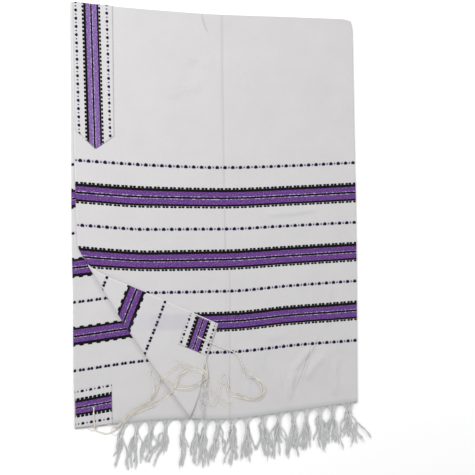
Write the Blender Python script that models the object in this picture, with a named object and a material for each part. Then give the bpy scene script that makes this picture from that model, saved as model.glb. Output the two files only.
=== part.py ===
"""A prayer shawl folded to a quarter and laid flat, as the pieces that are woven, cut and sewn.

The cloth is folded first across its middle and then lengthwise, so four layers lie on each other.
The corner of the top layer is turned up and over. Metres, +X along the hem, +Y towards the middle
fold, +Z up. The origin is on the table under the middle of the laid part, its fringe included.
The tables below measure from the middle of the folded cloth, which CLOTH_MIDDLE places.
"""
import math
from collections import namedtuple

import bmesh
import bpy
from mathutils import Vector
from mathutils.bvhtree import BVHTree

CLOTH_MIDDLE = (-0.0094, 0.0789)

# The cloth
FOLDED_WIDTH = 0.710
WALL = 0.0012
SEWN_GAP = 0.0003
LOFT = 0.0007
HEM_ALONG = 1.005
BACK_HEM_ALONG = 1.035

# How finely the sheets are divided: evenly, but closer beside the folded edges
FRONT_DOWN_STEPS = 22
FRONT_ACROSS_STEPS = 16
BACK_DOWN_STEPS = 14
BACK_COLUMNS = 16
NEAR_TOP_STEPS = (0.0, 0.010, 0.022, 0.040)
NEAR_SIDE_STEPS = (0.052, 0.030, 0.014, 0.0)

# Heights of the lying layers: the hidden pair is one solid, the walls are given by their middles
HIDDEN_TOP = 0.0040
BACK_MIDDLE = HIDDEN_TOP + SEWN_GAP + WALL / 2
FRONT_MIDDLE = BACK_MIDDLE + WALL + LOFT

HIDDEN_HEM = (
    (-0.3480, -0.5150), (-0.2600, -0.5100), (-0.1400, -0.5120), (0.0000, -0.5100),
    (0.1600, -0.5060), (0.2700, -0.4990), (0.3440, -0.4920),
)

# The two folded edges, as radii of the wall's middle, and how far each rolls round
SIDE_ROLL_RADIUS = 0.0036
TOP_ROLL_RADIUS = 0.0023
ROLL_TURN = math.radians(160)
ROLL_STEPS = 4
SOFT_CORNER = 0.0045
SOFT_CORNER_REACH = 0.016
FOLDED_CORNER = (0.353, 0.489)

# Each row is a line across a half of the cloth. along is its distance from the middle fold, the
# x values are its ends, and the y values are where it lies at five places spread evenly across.
Row = namedtuple("Row", "along x_neck x_fold y_neck y_quarter y_middle y_three_quarters y_fold")
FRONT_ROWS = (
    Row(0.000, -0.3605, 0.3520, 0.4970, 0.4885, 0.4845, 0.4870, 0.4890),
    Row(0.384, -0.3520, 0.3565, 0.1135, 0.1035, 0.0995, 0.1065, 0.1170),
    Row(0.539, -0.3475, 0.3585, -0.0445, -0.0555, -0.0550, -0.0468, -0.0378),
    Row(0.595, -0.3440, 0.3585, -0.1000, -0.1120, -0.1105, -0.1020, -0.0930),
    Row(0.630, -0.3280, 0.3585, -0.1350, -0.1470, -0.1455, -0.1365, -0.1275),
    Row(0.693, -0.3215, 0.3585, -0.1990, -0.2110, -0.2103, -0.1985, -0.1892),
    Row(0.847, -0.3200, 0.3578, -0.3500, -0.3620, -0.3622, -0.3500, -0.3415),
    Row(1.005, -0.3200, 0.3577, -0.4940, -0.5120, -0.5300, -0.5165, -0.5010),
)
BACK_ROWS = (
    Row(0.0000, -0.3617, 0.3480, 0.4960, 0.4885, 0.4845, 0.4870, 0.4890),
    Row(0.3955, -0.3600, 0.3530, 0.1020, 0.1165, 0.1180, 0.1120, 0.1080),
    Row(0.5622, -0.3596, 0.3555, -0.0649, -0.0480, -0.0440, -0.0460, -0.0480),
    Row(0.7289, -0.3565, 0.3555, -0.2316, -0.2130, -0.2080, -0.2080, -0.2080),
    Row(0.8956, -0.3560, 0.3550, -0.3964, -0.3770, -0.3690, -0.3670, -0.3660),
    Row(1.0350, -0.3536, 0.3545, -0.5360, -0.5255, -0.5240, -0.5150, -0.5040),
)

# The turned-up corner: its fold runs from the neck selvedge down to the hem
CORNER_FOLD_START = (-0.3441, -0.1026)
CORNER_FOLD_END = (-0.0679, -0.5322)
CORNER_ROLL_RADIUS = 0.0070
CORNER_ROLL_STEPS = 6
CORNER_BOW = 0.0080
CORNER_BOW_REACH = 0.050
CORNER_SETTLES_WITHIN = 0.075
SETTLING_CUTS = (0.012, 0.026, 0.042, 0.060)
HEM_DIP = 0.0100
HEM_DIP_ACROSS = 0.1917
HEM_DIP_WIDTH = 0.055

# The largest soft folds of the top layer. x and y are each one's middle and heading turns it
# from +X, width is its half width, and height is how far it stands up.
Swell = namedtuple("Swell", "x y length width heading height")
SWELLS = (
    Swell(0.266, -0.385, 0.230, 0.030, 50, 0.0035),
    Swell(0.168, -0.452, 0.150, 0.026, 75, 0.0028),
    Swell(0.322, -0.290, 0.200, 0.024, 96, 0.0022),
    Swell(0.022, -0.020, 0.800, 0.018, 91, 0.0012),
    Swell(-0.020, 0.330, 0.240, 0.045, 25, 0.0016),
)

# Sewn-on pieces
BAND_THICKNESS = 0.0010
BAND_INSET_TOP = 0.0055
BAND_INSET_END = 0.0020
BAND_WIDTH = 0.0945
BAND_NECK_SHOULDER = 0.310
BAND_TIP = 0.355
BAND_TIP_SHARE = 0.52
BAND_FOLD_SHOULDER = 0.320
PATCH_THICKNESS = 0.0008
PATCH_INSET = 0.0010
FRONT_PATCH_SIZE = (0.088, 0.086)
BACK_PATCH_SIZE = (0.090, 0.094)

# Fringe: a strip along each hem, and bunches that are gathered to a knot and then part
STRIP_WIDTH = 0.0035
STRIP_THICKNESS = 0.0012
BUNCH_PITCH = 0.0384
BUNCH_ROOT = 0.031
LOCK_THICKNESS = 0.0016
LOCK_WIDTH = 0.0042
LOCK_TIP_WIDTH = 0.0014
LOCK_SPREAD = 0.0068
LOCK_SWINGS = ((0.28, 0.75), (0.64, 1.05), (1.0, 0.95))
Gather = namedtuple("Gather", "distance width thickness fall")
GATHERING = (
    Gather(0.010, 0.0170, 0.0016, 0.4),
    Gather(0.018, 0.0070, 0.0018, 0.9),
    Gather(0.022, 0.0090, 0.0022, 1.0),
    Gather(0.027, 0.0075, 0.0018, 1.0),
)
HIDDEN_FRINGE_LIES = 0.0013
BACK_FRINGE_LIES = 0.0037
FRONT_FRINGE_LIES = 0.0061
CORNER_FRINGE_RISE = 0.0014
CORNER_FRINGE_STARTS = 0.032
CORNER_FRINGE_LEAN = -1.6
BACK_FRINGE_LEAN = -0.22
FRONT_LAST_LEAN = 0.30

# Corner tassels: a wound cord and eight strings, whose routes are plan places
STRING_SIZE = 0.0014
STRING_PITCH = 0.0020
CORD_RADIUS = 0.0019
CORD_SIDES = 12
TAIL_SPREAD = 0.0010
STRING_CLEARANCE = 0.0005
STRING_REACH = ((0, 0), (0.003, 0), (-0.003, 0), (0, 0.003), (0, -0.003))
FRONT_CORD = (
    (-0.054, -0.323), (-0.037, -0.331), (-0.022, -0.337), (-0.007, -0.346), (0.008, -0.351),
    (0.030, -0.360), (0.048, -0.375), (0.056, -0.395), (0.061, -0.406),
)
FRONT_UPPER_STRINGS = (
    (0.081, -0.424), (0.101, -0.439), (0.110, -0.454), (0.107, -0.469), (0.093, -0.481),
    (0.073, -0.481), (0.052, -0.474), (0.034, -0.471),
)
FRONT_LOWER_STRINGS = FRONT_UPPER_STRINGS[:-1] + (
    (0.032, -0.471), (0.023, -0.462), (0.020, -0.449), (0.011, -0.439), (0.000, -0.444),
    (-0.004, -0.460), (-0.001, -0.477), (0.012, -0.489), (0.030, -0.492), (0.044, -0.488),
)
BACK_CORD = (
    (-0.308, -0.485), (-0.308, -0.502), (-0.306, -0.534), (-0.303, -0.543), (-0.293, -0.548),
    (-0.280, -0.552), (-0.268, -0.550), (-0.255, -0.542), (-0.243, -0.526), (-0.226, -0.508),
)
BACK_UPPER_STRINGS = (
    (-0.193, -0.484), (-0.163, -0.464), (-0.152, -0.441), (-0.143, -0.421), (-0.126, -0.401),
    (-0.102, -0.392), (-0.074, -0.394), (-0.050, -0.406), (-0.034, -0.422), (-0.026, -0.444),
    (-0.016, -0.462),
)
BACK_LOWER_STRINGS = (
    (-0.186, -0.496), (-0.154, -0.481), (-0.128, -0.461), (-0.112, -0.443), (-0.103, -0.424),
    (-0.092, -0.412), (-0.075, -0.411), (-0.061, -0.421), (-0.058, -0.437), (-0.069, -0.449),
    (-0.086, -0.452),
)

WOOL_WHITE = (0.74, 0.73, 0.74)
BAND_PURPLE = (0.13, 0.05, 0.24)
FRINGE_WHITE = (0.70, 0.70, 0.68)
STRING_IVORY = (0.68, 0.63, 0.52)


def smooth_value(places, values, place):
    """Reads a smooth curve through the values, which doesn't swing past them between places."""
    place = min(max(place, places[0]), places[-1])
    last = len(places) - 2
    i = next((k for k in range(last) if place < places[k + 1]), last)
    runs = [b - a for a, b in zip(places, places[1:])]
    slopes = [(b - a) / run for a, b, run in zip(values, values[1:], runs)]

    def tangent(k):
        if k == 0:
            return slopes[0]
        if k == len(slopes):
            return slopes[-1]
        before, after = slopes[k - 1], slopes[k]
        if before * after <= 0:
            return 0.0
        return 2 * before * after / (before + after)

    share = (place - places[i]) / runs[i]
    rise = runs[i] * share * (1 - share)
    blend = share * share * (3 - 2 * share)
    start_part = rise * (1 - share) * tangent(i)
    end_part = rise * share * tangent(i + 1)
    return values[i] * (1 - blend) + values[i + 1] * blend + start_part - end_part


def ease(share):
    share = min(max(share, 0.0), 1.0)
    return share * share * (3 - 2 * share)


def spread(first, last, steps):
    """Evenly spaced places from first to last, both included."""
    return [first + (last - first) * k / steps for k in range(steps + 1)]


def plan_place(rows, across, along):
    """Where a point of a half of the cloth lies on the table, seen from above."""
    places = [row.along for row in rows]
    line = Row(along, *(smooth_value(places, column, along) for column in list(zip(*rows))[1:]))
    share = across / FOLDED_WIDTH
    y = smooth_value((0, 0.25, 0.5, 0.75, 1), line[3:], share)
    return line.x_neck + (line.x_fold - line.x_neck) * share, y


def soften_corner(x, y):
    """Draws the folded corner in, because the thick folded edges round it."""
    away = math.dist((x, y), FOLDED_CORNER) / SOFT_CORNER_REACH
    draw = SOFT_CORNER * math.exp(-away * away)
    return x - draw, y - draw


def swell_height(x, y):
    """How far the soft folds lift the top layer at a place."""
    height = 0.0
    for swell in SWELLS:
        turn = math.radians(swell.heading)
        dx, dy = x - swell.x, y - swell.y
        length_share = 2 * (dx * math.cos(turn) + dy * math.sin(turn)) / swell.length
        width_share = (dy * math.cos(turn) - dx * math.sin(turn)) / swell.width
        if abs(length_share) < 1:
            height += swell.height * (1 - length_share**2) ** 2 * math.exp(-(width_share**2))
    return height


def front_height(x, y):
    """Height of the middle of the top layer: it swells beside its folded edges."""
    side = max(FRONT_ROWS[1].x_fold - x, 0) / 0.022
    top = max(FRONT_ROWS[0].y_middle - y, 0) / 0.020
    edge_swell = 0.0008 * math.exp(-side * side) + 0.0006 * math.exp(-top * top)
    return FRONT_MIDDLE + edge_swell + swell_height(x, y)


def back_height(x, y):
    """Height of the middle of the second layer: it dips into the middle fold."""
    top = max(BACK_ROWS[0].y_middle - y, 0) / 0.015
    return BACK_MIDDLE - 0.0015 * math.exp(-top * top) + 0.2 * swell_height(x, y)


class CornerFold:
    """The line that the corner is turned over, and where points past it go."""

    def __init__(self):
        start, end = Vector(CORNER_FOLD_START), Vector(CORNER_FOLD_END)
        self.along = (end - start).normalized()
        self.outward = Vector((self.along.y, -self.along.x))
        self.origin = start - self.outward * (CORNER_ROLL_RADIUS + WALL / 2)
        self.length = (end - start).length
        self.arc = math.pi * CORNER_ROLL_RADIUS

    def past(self, x, y):
        """Distance past the start of the roll, and distance along the line."""
        offset = Vector((x, y)) - self.origin
        return offset.dot(self.outward), offset.dot(self.along)

    def place(self, x, y):
        """The point's place once the corner is over, with its height over the lying layer."""
        beyond, along = self.past(x, y)
        if beyond <= 0:
            outward, lift, away = beyond, 0.0, -beyond
        elif beyond < self.arc:
            angle = beyond / CORNER_ROLL_RADIUS
            outward = CORNER_ROLL_RADIUS * math.sin(angle)
            lift = CORNER_ROLL_RADIUS * (1 - math.cos(angle))
            away = 0.0
        else:
            away = beyond - self.arc
            outward = -away
            resting = WALL + LOFT
            fall = ease(away / CORNER_SETTLES_WITHIN)
            lift = 2 * CORNER_ROLL_RADIUS + (resting - 2 * CORNER_ROLL_RADIUS) * fall
        share = min(max(along / self.length, 0), 1)
        bow = CORNER_BOW * math.sin(math.pi * share) * math.exp(-((away / CORNER_BOW_REACH) ** 2))
        spot = self.origin + self.along * along + self.outward * (outward + bow)
        return spot.x, spot.y, lift

    def cuts(self):
        """Distances past the start of the roll where the sheet bends, round it and as it settles."""
        return spread(0.0, self.arc, CORNER_ROLL_STEPS) + [self.arc + away for away in SETTLING_CUTS]


FOLD = CornerFold()


def front_plan(across, along):
    """Plan place in the top layer, with its hem's dip where the corner fold ends."""
    x, y = plan_place(FRONT_ROWS, across, along)
    nearness = math.exp(-(((across - HEM_DIP_ACROSS) / HEM_DIP_WIDTH) ** 2))
    return x, y - HEM_DIP * nearness * ease((along - 0.90) / (HEM_ALONG - 0.90))


def back_plan(across, along):
    """Plan place in the second layer."""
    return soften_corner(*plan_place(BACK_ROWS, across, along))


def rolled_edges(x, y, side_arc, top_arc):
    """Carries a point of the folded edges round their rolls. Returns its place and its drop."""
    side_share = side_arc / (SIDE_ROLL_RADIUS * ROLL_TURN)
    top_share = top_arc / (TOP_ROLL_RADIUS * ROLL_TURN)
    share = max(side_share, top_share)
    if share == 0:
        return x, y, 0.0
    if side_share >= top_share:
        turn = math.pi / 4 * top_share / side_share
    else:
        turn = math.pi / 2 - math.pi / 4 * side_share / top_share
    radius = SIDE_ROLL_RADIUS + (TOP_ROLL_RADIUS - SIDE_ROLL_RADIUS) * turn / (math.pi / 2)
    outward = radius * math.sin(share * ROLL_TURN)
    drop = radius * (1 - math.cos(share * ROLL_TURN))
    return x + outward * math.cos(turn), y + outward * math.sin(turn), drop


def front_flat_point(across, along, side_arc=0.0, top_arc=0.0):
    """A point of the top layer with its corner still down, z being its drop round an edge."""
    x, y = soften_corner(*front_plan(across, along))
    x, y, drop = rolled_edges(x, y, side_arc, top_arc)
    return Vector((x, y, -drop))


def front_laid_point(flat):
    """The same point after the corner is turned over, at its real height."""
    x, y, lift = FOLD.place(flat.x, flat.y)
    return Vector((x, y, front_height(x, y) + lift + flat.z))


def front_stations():
    """Places down and across the top layer, each with its arc round a folded edge."""
    side_flat = FOLDED_WIDTH - SIDE_ROLL_RADIUS - WALL / 2
    top_flat = TOP_ROLL_RADIUS + WALL / 2
    side_arcs = spread(0.0, SIDE_ROLL_RADIUS * ROLL_TURN, ROLL_STEPS)[1:]
    top_arcs = spread(TOP_ROLL_RADIUS * ROLL_TURN, 0.0, ROLL_STEPS)[:-1]
    near_side = [side_flat - step for step in NEAR_SIDE_STEPS]
    near_top = [top_flat + step for step in NEAR_TOP_STEPS]
    downs = near_top + spread(near_top[-1], HEM_ALONG, FRONT_DOWN_STEPS)[1:]
    acrosses = spread(0.0, near_side[0], FRONT_ACROSS_STEPS) + near_side[1:]
    columns = [(across, 0.0) for across in acrosses] + [(side_flat, arc) for arc in side_arcs]
    rows = [(top_flat, arc) for arc in top_arcs] + [(along, 0.0) for along in downs]
    return columns, rows


def grid_sheet(rows_of_points):
    """A bmesh of quads through rows of points."""
    sheet = bmesh.new()
    made = [[sheet.verts.new(point) for point in row] for row in rows_of_points]
    for upper, lower in zip(made, made[1:]):
        for a, b, c, d in zip(upper, lower, lower[1:], upper[1:]):
            sheet.faces.new((a, b, c, d))
    return sheet


def material(name, colour, roughness):
    look = bpy.data.materials.new(name)
    look.use_nodes = True
    shader = look.node_tree.nodes["Principled BSDF"]
    shader.inputs["Base Color"].default_value = (*colour, 1.0)
    shader.inputs["Roughness"].default_value = roughness
    shader.inputs["Metallic"].default_value = 0.0
    return look


def add_piece(name, shape, look, wall=None):
    """Makes one named object from a bmesh. A wall thickens a sheet evenly about its middle."""
    mesh = bpy.data.meshes.new(name)
    shape.to_mesh(mesh)
    shape.free()
    mesh.materials.append(look)
    mesh.shade_smooth()
    mesh.set_sharp_from_angle(angle=math.radians(50))
    piece = bpy.data.objects.new(name, mesh)
    bpy.context.scene.collection.objects.link(piece)
    piece.parent = LAID_CLOTH
    if wall:
        thicken = piece.modifiers.new("Wall", "SOLIDIFY")
        thicken.thickness = wall
        thicken.offset = 0.0
        thicken.use_even_offset = True
    return piece


def cut_sheet(sheet, spot, outward, clear=False):
    """Cuts a sheet in plan along a line. clear takes away what lies outward of it."""
    bmesh.ops.bisect_plane(
        sheet,
        geom=sheet.verts[:] + sheet.edges[:] + sheet.faces[:],
        dist=0.0004,
        plane_co=(spot[0], spot[1], 0),
        plane_no=(outward[0], outward[1], 0),
        clear_outer=clear,
    )


def laid_front(corners=None):
    """The middle surface of the top layer with its corner over, or what is inside an outline.

    The outline's corners are plan places before the corner is turned, given anticlockwise.
    """
    columns, rows = front_stations()
    sheet = grid_sheet(
        [
            [front_flat_point(across, along, side_arc, top_arc) for across, side_arc in columns]
            for along, top_arc in rows
        ]
    )
    for cut in FOLD.cuts():
        cut_sheet(sheet, FOLD.origin + FOLD.outward * cut, FOLD.outward)
    return laid(sheet, front_laid_point, corners)


def laid(sheet, laid_point, corners):
    """Moves a flat sheet's points to where they lie. What is cut out keeps the sheet's facets."""
    bmesh.ops.triangulate(sheet, faces=sheet.faces[:])
    laid_place = sheet.verts.layers.float_vector.new("laid_place")
    for vert in sheet.verts:
        vert[laid_place] = laid_point(vert.co)
    if corners:
        for start, end in zip(corners, corners[1:] + corners[:1]):
            run = Vector(end) - Vector(start)
            cut_sheet(sheet, start, (run.y, -run.x), clear=True)
    for vert in sheet.verts:
        vert.co = vert[laid_place]
    return sheet


def laid_back(corners=None):
    """The middle surface of the second layer, inside face up, or what is inside an outline."""
    top = TOP_ROLL_RADIUS + WALL / 2
    downs = [top + step for step in NEAR_TOP_STEPS]
    downs += spread(downs[-1], BACK_HEM_ALONG, BACK_DOWN_STEPS)[1:]
    acrosses = spread(0.0, FOLDED_WIDTH, BACK_COLUMNS)
    sheet = grid_sheet([[(*back_plan(across, along), 0.0) for across in acrosses] for along in downs])
    return laid(sheet, lambda flat: (flat.x, flat.y, back_height(flat.x, flat.y)), corners)


def hidden_outline():
    """The plan outline of the two hidden layers, anticlockwise from the neck end of their hem."""
    hem = list(HIDDEN_HEM)
    side = [(0.3480, y) for y in (-0.4400, -0.3000, -0.1500, 0.0000)]
    side += [(0.3470, 0.1200), (0.3450, 0.2500), (0.3430, 0.3600)]
    top = [(0.3370, 0.4700), (0.2600, 0.4770), (0.1400, 0.4770), (0.0000, 0.4750)]
    top += [(-0.1400, 0.4770), (-0.2600, 0.4810), (-0.3460, 0.4840)]
    neck = [(-0.3490, 0.4000), (-0.3490, 0.2800), (-0.3490, 0.1500), (-0.3480, 0.0)]
    neck += [(-0.3470, -0.1500), (-0.3460, -0.3000), (-0.3460, -0.4300)]
    kinds = ["open"] * len(hem) + ["folded"] * (len(side) + len(top) + 1) + ["open"] * (len(neck) - 1)
    return hem + side + top + neck, kinds


def hidden_layers():
    """One rounded solid for the two hidden layers, grooved between them along their open edges."""
    Edge = namedtuple("Edge", "inset height")
    open_edge = [Edge(0.0006, 0.0), Edge(0.0, 0.0006), Edge(0.0, 0.0015), Edge(0.0022, 0.0020)]
    open_edge += [Edge(0.0, 0.0025), Edge(0.0, 0.0034), Edge(0.0008, 0.0040), Edge(0.030, 0.0040)]
    folded_edge = [Edge(0.0014, 0.0), Edge(0.0004, 0.0006), Edge(0.0, 0.0013), Edge(0.0002, 0.0020)]
    folded_edge += [Edge(0.0010, 0.0022), Edge(0.0040, 0.0023), Edge(0.0160, 0.0029), Edge(0.030, 0.0038)]
    outline, kinds = hidden_outline()
    shape = bmesh.new()
    rings = []
    for i, (spot, kind) in enumerate(zip(outline, kinds)):
        before = Vector(outline[i - 1])
        after = Vector(outline[(i + 1) % len(outline)])
        run = (after - before).normalized()
        inward = Vector((-run.y, run.x))
        profile = open_edge if kind == "open" else folded_edge
        column = []
        for edge in profile:
            place = Vector(spot) + inward * edge.inset
            column.append(shape.verts.new((place.x, place.y, edge.height)))
        rings.append(column)
    for i, column in enumerate(rings):
        following = rings[(i + 1) % len(rings)]
        for a, b, c, d in zip(column, following, following[1:], column[1:]):
            shape.faces.new((a, b, c, d))
    shape.faces.new([column[0] for column in reversed(rings)])
    shape.faces.new([column[-1] for column in rings])
    return shape


def moved_out(sheet, distance):
    """Moves a laid sheet off the cloth it came from, evenly."""
    sheet.normal_update()
    moves = [(vert, vert.normal * distance * vert.calc_shell_factor()) for vert in sheet.verts]
    for vert, move in moves:
        vert.co += move
    return sheet


def neckband():
    """The neckband's middle surface, from its pointed end up over the middle fold."""

    def edge_place(share, along):
        inset = BAND_INSET_TOP + (BAND_INSET_END - BAND_INSET_TOP) * along / BAND_NECK_SHOULDER
        return front_plan(inset + share * BAND_WIDTH, along)

    beyond_fold = Vector((0.0, 0.020))
    corners = [
        Vector(edge_place(0.0, 0.0)) + beyond_fold,
        edge_place(0.0, BAND_NECK_SHOULDER),
        edge_place(BAND_TIP_SHARE, BAND_TIP),
        edge_place(1.0, BAND_FOLD_SHOULDER),
        Vector(edge_place(1.0, 0.0)) + beyond_fold,
    ]
    return moved_out(laid_front(corners), WALL / 2 + SEWN_GAP + BAND_THICKNESS / 2)


def front_patch():
    """The patch on the turned-up corner. It is sewn to the inside face, which shows there."""
    width, length = FRONT_PATCH_SIZE
    hem = HEM_ALONG - PATCH_INSET
    corners = [
        front_plan(PATCH_INSET, HEM_ALONG - length),
        front_plan(PATCH_INSET, hem),
        front_plan(width, hem),
        front_plan(width, HEM_ALONG - length),
    ]
    return moved_out(laid_front(corners), -(WALL / 2 + SEWN_GAP + PATCH_THICKNESS / 2))


def back_patch():
    """The patch on the second layer's corner, also on the inside face."""
    width, length = BACK_PATCH_SIZE
    hem = BACK_HEM_ALONG - PATCH_INSET
    corners = [
        back_plan(PATCH_INSET, BACK_HEM_ALONG - length),
        back_plan(PATCH_INSET, hem),
        back_plan(width, hem),
        back_plan(width, BACK_HEM_ALONG - length),
    ]
    return moved_out(laid_back(corners), WALL / 2 + SEWN_GAP + PATCH_THICKNESS / 2)


Bunch = namedtuple("Bunch", "distance lying_height length lean")


class Hem:
    """A hem's own points, asked for the place and the way out of the cloth at a distance along."""

    def __init__(self, points):
        self.points = [Vector(point) for point in points]
        runs = [(end - start).xy.length for start, end in zip(self.points, self.points[1:])]
        self.marks = [sum(runs[:k]) for k in range(len(runs) + 1)]
        self.length = self.marks[-1]

    def at(self, distance):
        distance = min(max(distance, 0.0), self.length)
        i = next(k for k in range(len(self.points) - 1) if distance <= self.marks[k + 1])
        start, end = self.points[i], self.points[i + 1]
        run = (end - start).xy.normalized()
        share = (distance - self.marks[i]) / (self.marks[i + 1] - self.marks[i])
        return start.lerp(end, share), Vector((run.y, -run.x))

    def bunches(self):
        """Evenly spaced places for its bunches."""
        count = round(self.length / BUNCH_PITCH)
        return [self.length * (k + 0.5) / count for k in range(count)]


def fringe(hem, bunches, locks):
    """A narrow strip along a hem, with a knotted bunch of locks drawn out below each root."""
    shape = bmesh.new()

    def pair(place, height, thickness):
        top = shape.verts.new((place.x, place.y, height + thickness / 2))
        low = shape.verts.new((place.x, place.y, height - thickness / 2))
        return top, low

    def across_ring(centre, sideways, width, height, thickness):
        shares = spread(-0.5, 0.5, locks)
        return [pair(centre + sideways * share * width, height, thickness) for share in shares]

    def join(ring, following):
        """Skins the stretch between two flat rings, leaving its ends open."""
        for k in range(len(ring) - 1):
            shape.faces.new((ring[k][0], following[k][0], following[k + 1][0], ring[k + 1][0]))
            shape.faces.new((ring[k][1], ring[k + 1][1], following[k + 1][1], following[k][1]))
        shape.faces.new((ring[0][1], following[0][1], following[0][0], ring[0][0]))
        shape.faces.new((ring[-1][0], following[-1][0], following[-1][1], ring[-1][1]))

    near, far = [], []
    for bunch in bunches:
        for share in spread(-0.5, 0.5, locks):
            spot, outward = hem.at(bunch.distance + share * BUNCH_ROOT)
            edge = spot.xy + outward * SEWN_GAP
            near.append(pair(edge, spot.z, STRIP_THICKNESS))
            far.append(pair(edge + outward * STRIP_WIDTH, spot.z, STRIP_THICKNESS))
    join(near, far)
    for i in range(len(near) - 1):
        shape.faces.new((near[i][1], near[i][0], near[i + 1][0], near[i + 1][1]))
        if (i + 1) % (locks + 1) == 0:
            shape.faces.new((far[i][1], far[i + 1][1], far[i + 1][0], far[i][0]))

    for i, bunch in enumerate(bunches):
        spot, outward = hem.at(bunch.distance)
        sideways = Vector((-outward.y, outward.x))
        heading = (outward + sideways * bunch.lean).normalized()
        square = Vector((-heading.y, heading.x))
        start = spot.xy + outward * (SEWN_GAP + STRIP_WIDTH)
        ring = far[i * (locks + 1) : (i + 1) * (locks + 1)]
        for station in GATHERING:
            level = spot.z + (bunch.lying_height - spot.z) * station.fall
            turned = (sideways + (square - sideways) * station.fall).normalized()
            following = across_ring(
                start + heading * station.distance, turned, station.width, level, station.thickness
            )
            join(ring, following)
            ring = following
        knot_end = start + heading * GATHERING[-1].distance
        for lock in range(locks):
            side = lock - (locks - 1) / 2
            strand = ring[lock : lock + 2]
            free_length = (bunch.length - GATHERING[-1].distance) * (1 - 0.06 * abs(side))
            for share, swing in LOCK_SWINGS:
                width = LOCK_WIDTH + (LOCK_TIP_WIDTH - LOCK_WIDTH) * share**2
                thickness = LOCK_THICKNESS * (1 - 0.3 * share)
                middle = knot_end + heading * free_length * share + square * side * LOCK_SPREAD * swing
                following = [
                    pair(middle + square * half * width, bunch.lying_height, thickness)
                    for half in (-0.5, 0.5)
                ]
                join(strand, following)
                strand = following
            shape.faces.new((strand[0][1], strand[1][1], strand[1][0], strand[0][0]))
    return shape


def uneven(index, middle, swing):
    """A value that varies about a middle from bunch to bunch, as hand knotting does."""
    return middle + swing * math.sin(2.4 * index + 0.7) * math.cos(0.9 * index)


def front_hem_points(across_from, across_to):
    """The laid points of the top layer's hem between two places across, from its own facets."""
    columns = [across for across, side_arc in front_stations()[0] if side_arc == 0]
    flat = [Vector(front_plan(across, HEM_ALONG)) for across in columns]
    stations = []
    for start, end, start_across, end_across in zip(flat, flat[1:], columns, columns[1:]):
        begin, finish = FOLD.past(*start)[0], FOLD.past(*end)[0]
        shares = [0.0] + [(cut - begin) / (finish - begin) for cut in FOLD.cuts()]
        shares = sorted(share for share in shares if 0 <= share < 1)
        for share in shares:
            across = start_across + (end_across - start_across) * share
            stations.append((across, start.lerp(end, share)))
    stations.append((columns[-1], flat[-1]))
    ends = sorted((across_from, across_to))
    kept = [(across, spot) for across, spot in stations if ends[0] < across < ends[1]]
    for end in ends:
        i = next(k for k in range(len(stations) - 1) if end <= stations[k + 1][0])
        share = (end - stations[i][0]) / (stations[i + 1][0] - stations[i][0])
        kept.append((end, (stations[i][1], stations[i + 1][1], share)))
    points = []
    for across, spot in sorted(kept, key=lambda station: station[0], reverse=across_from > across_to):
        if isinstance(spot, tuple):
            start, end, share = spot
            start, end = (front_laid_point(Vector((*place, 0.0))) for place in (start, end))
            points.append(start.lerp(end, share))
        else:
            points.append(front_laid_point(Vector((*spot, 0.0))))
    return points


def hem_leaves_fold(beyond):
    """How far across the hem comes to a distance past the start of the corner's roll."""
    acrosses = spread(FOLDED_WIDTH, 0, 2000)
    return next(across for across in acrosses if FOLD.past(*front_plan(across, HEM_ALONG))[0] > beyond)


def front_fringe():
    """The top layer's fringe, from where its hem leaves the corner fold to the folded edge."""
    side_flat = FOLDED_WIDTH - SIDE_ROLL_RADIUS - WALL / 2
    hem = Hem(front_hem_points(hem_leaves_fold(-0.003), side_flat - 0.003))
    bunches = []
    for i, distance in enumerate(hem.bunches()):
        lean = uneven(i, -0.02, 0.10)
        length = uneven(i, 0.1180 - 0.0004 * i, 0.004)
        bunches.append(Bunch(distance, FRONT_FRINGE_LIES, length, lean))
    bunches[-1] = bunches[-1]._replace(lean=FRONT_LAST_LEAN)
    return fringe(hem, bunches, 3)


def corner_fringe():
    """The fringe on the turned-up stretch of the same hem, which lies on the top layer."""
    start = hem_leaves_fold(FOLD.arc + CORNER_FRINGE_STARTS)
    hem = Hem(front_hem_points(start, FRONT_PATCH_SIZE[0] + 0.004))
    bunches = []
    for i, distance in enumerate(hem.bunches()):
        spot = hem.at(distance)[0]
        rests = front_height(spot.x, spot.y) + WALL / 2 + CORNER_FRINGE_RISE
        bunches.append(Bunch(distance, rests, uneven(i, 0.105, 0.004), CORNER_FRINGE_LEAN))
    return fringe(hem, bunches, 3)


def back_fringe():
    """The second layer's fringe. None hangs under its corner patch."""
    columns = spread(0.0, FOLDED_WIDTH, BACK_COLUMNS)
    corners = [Vector(back_plan(across, BACK_HEM_ALONG)) for across in columns]
    corners = [Vector((*corner, back_height(*corner))) for corner in corners]
    whole = Hem(corners)
    patch_end = whole.at(BACK_PATCH_SIZE[0] + 0.002)[0]
    near_fold = whole.at(whole.length - 0.004)[0]
    hem = Hem([patch_end] + [corner for corner in corners[:-1] if corner.x > patch_end.x] + [near_fold])
    bunches = []
    for i, distance in enumerate(hem.bunches()):
        shows = hem.at(distance)[0].x < CORNER_FOLD_END[0]
        lean = uneven(i, BACK_FRINGE_LEAN, 0.10) if shows else uneven(i, -0.04, 0.08)
        bunches.append(Bunch(distance, BACK_FRINGE_LIES, uneven(i, 0.121, 0.005), lean))
    return fringe(hem, bunches, 3)


def hidden_fringe():
    """One fringe for the two hidden layers, which lie edge on edge."""
    hem = Hem([(x, y, HIDDEN_TOP / 2) for x, y in HIDDEN_HEM[1:]])
    bunches = []
    for i, distance in enumerate(hem.bunches()):
        bunches.append(Bunch(distance, HIDDEN_FRINGE_LIES, uneven(i, 0.106, 0.004), -0.05))
    return fringe(hem, bunches, 2)


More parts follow.
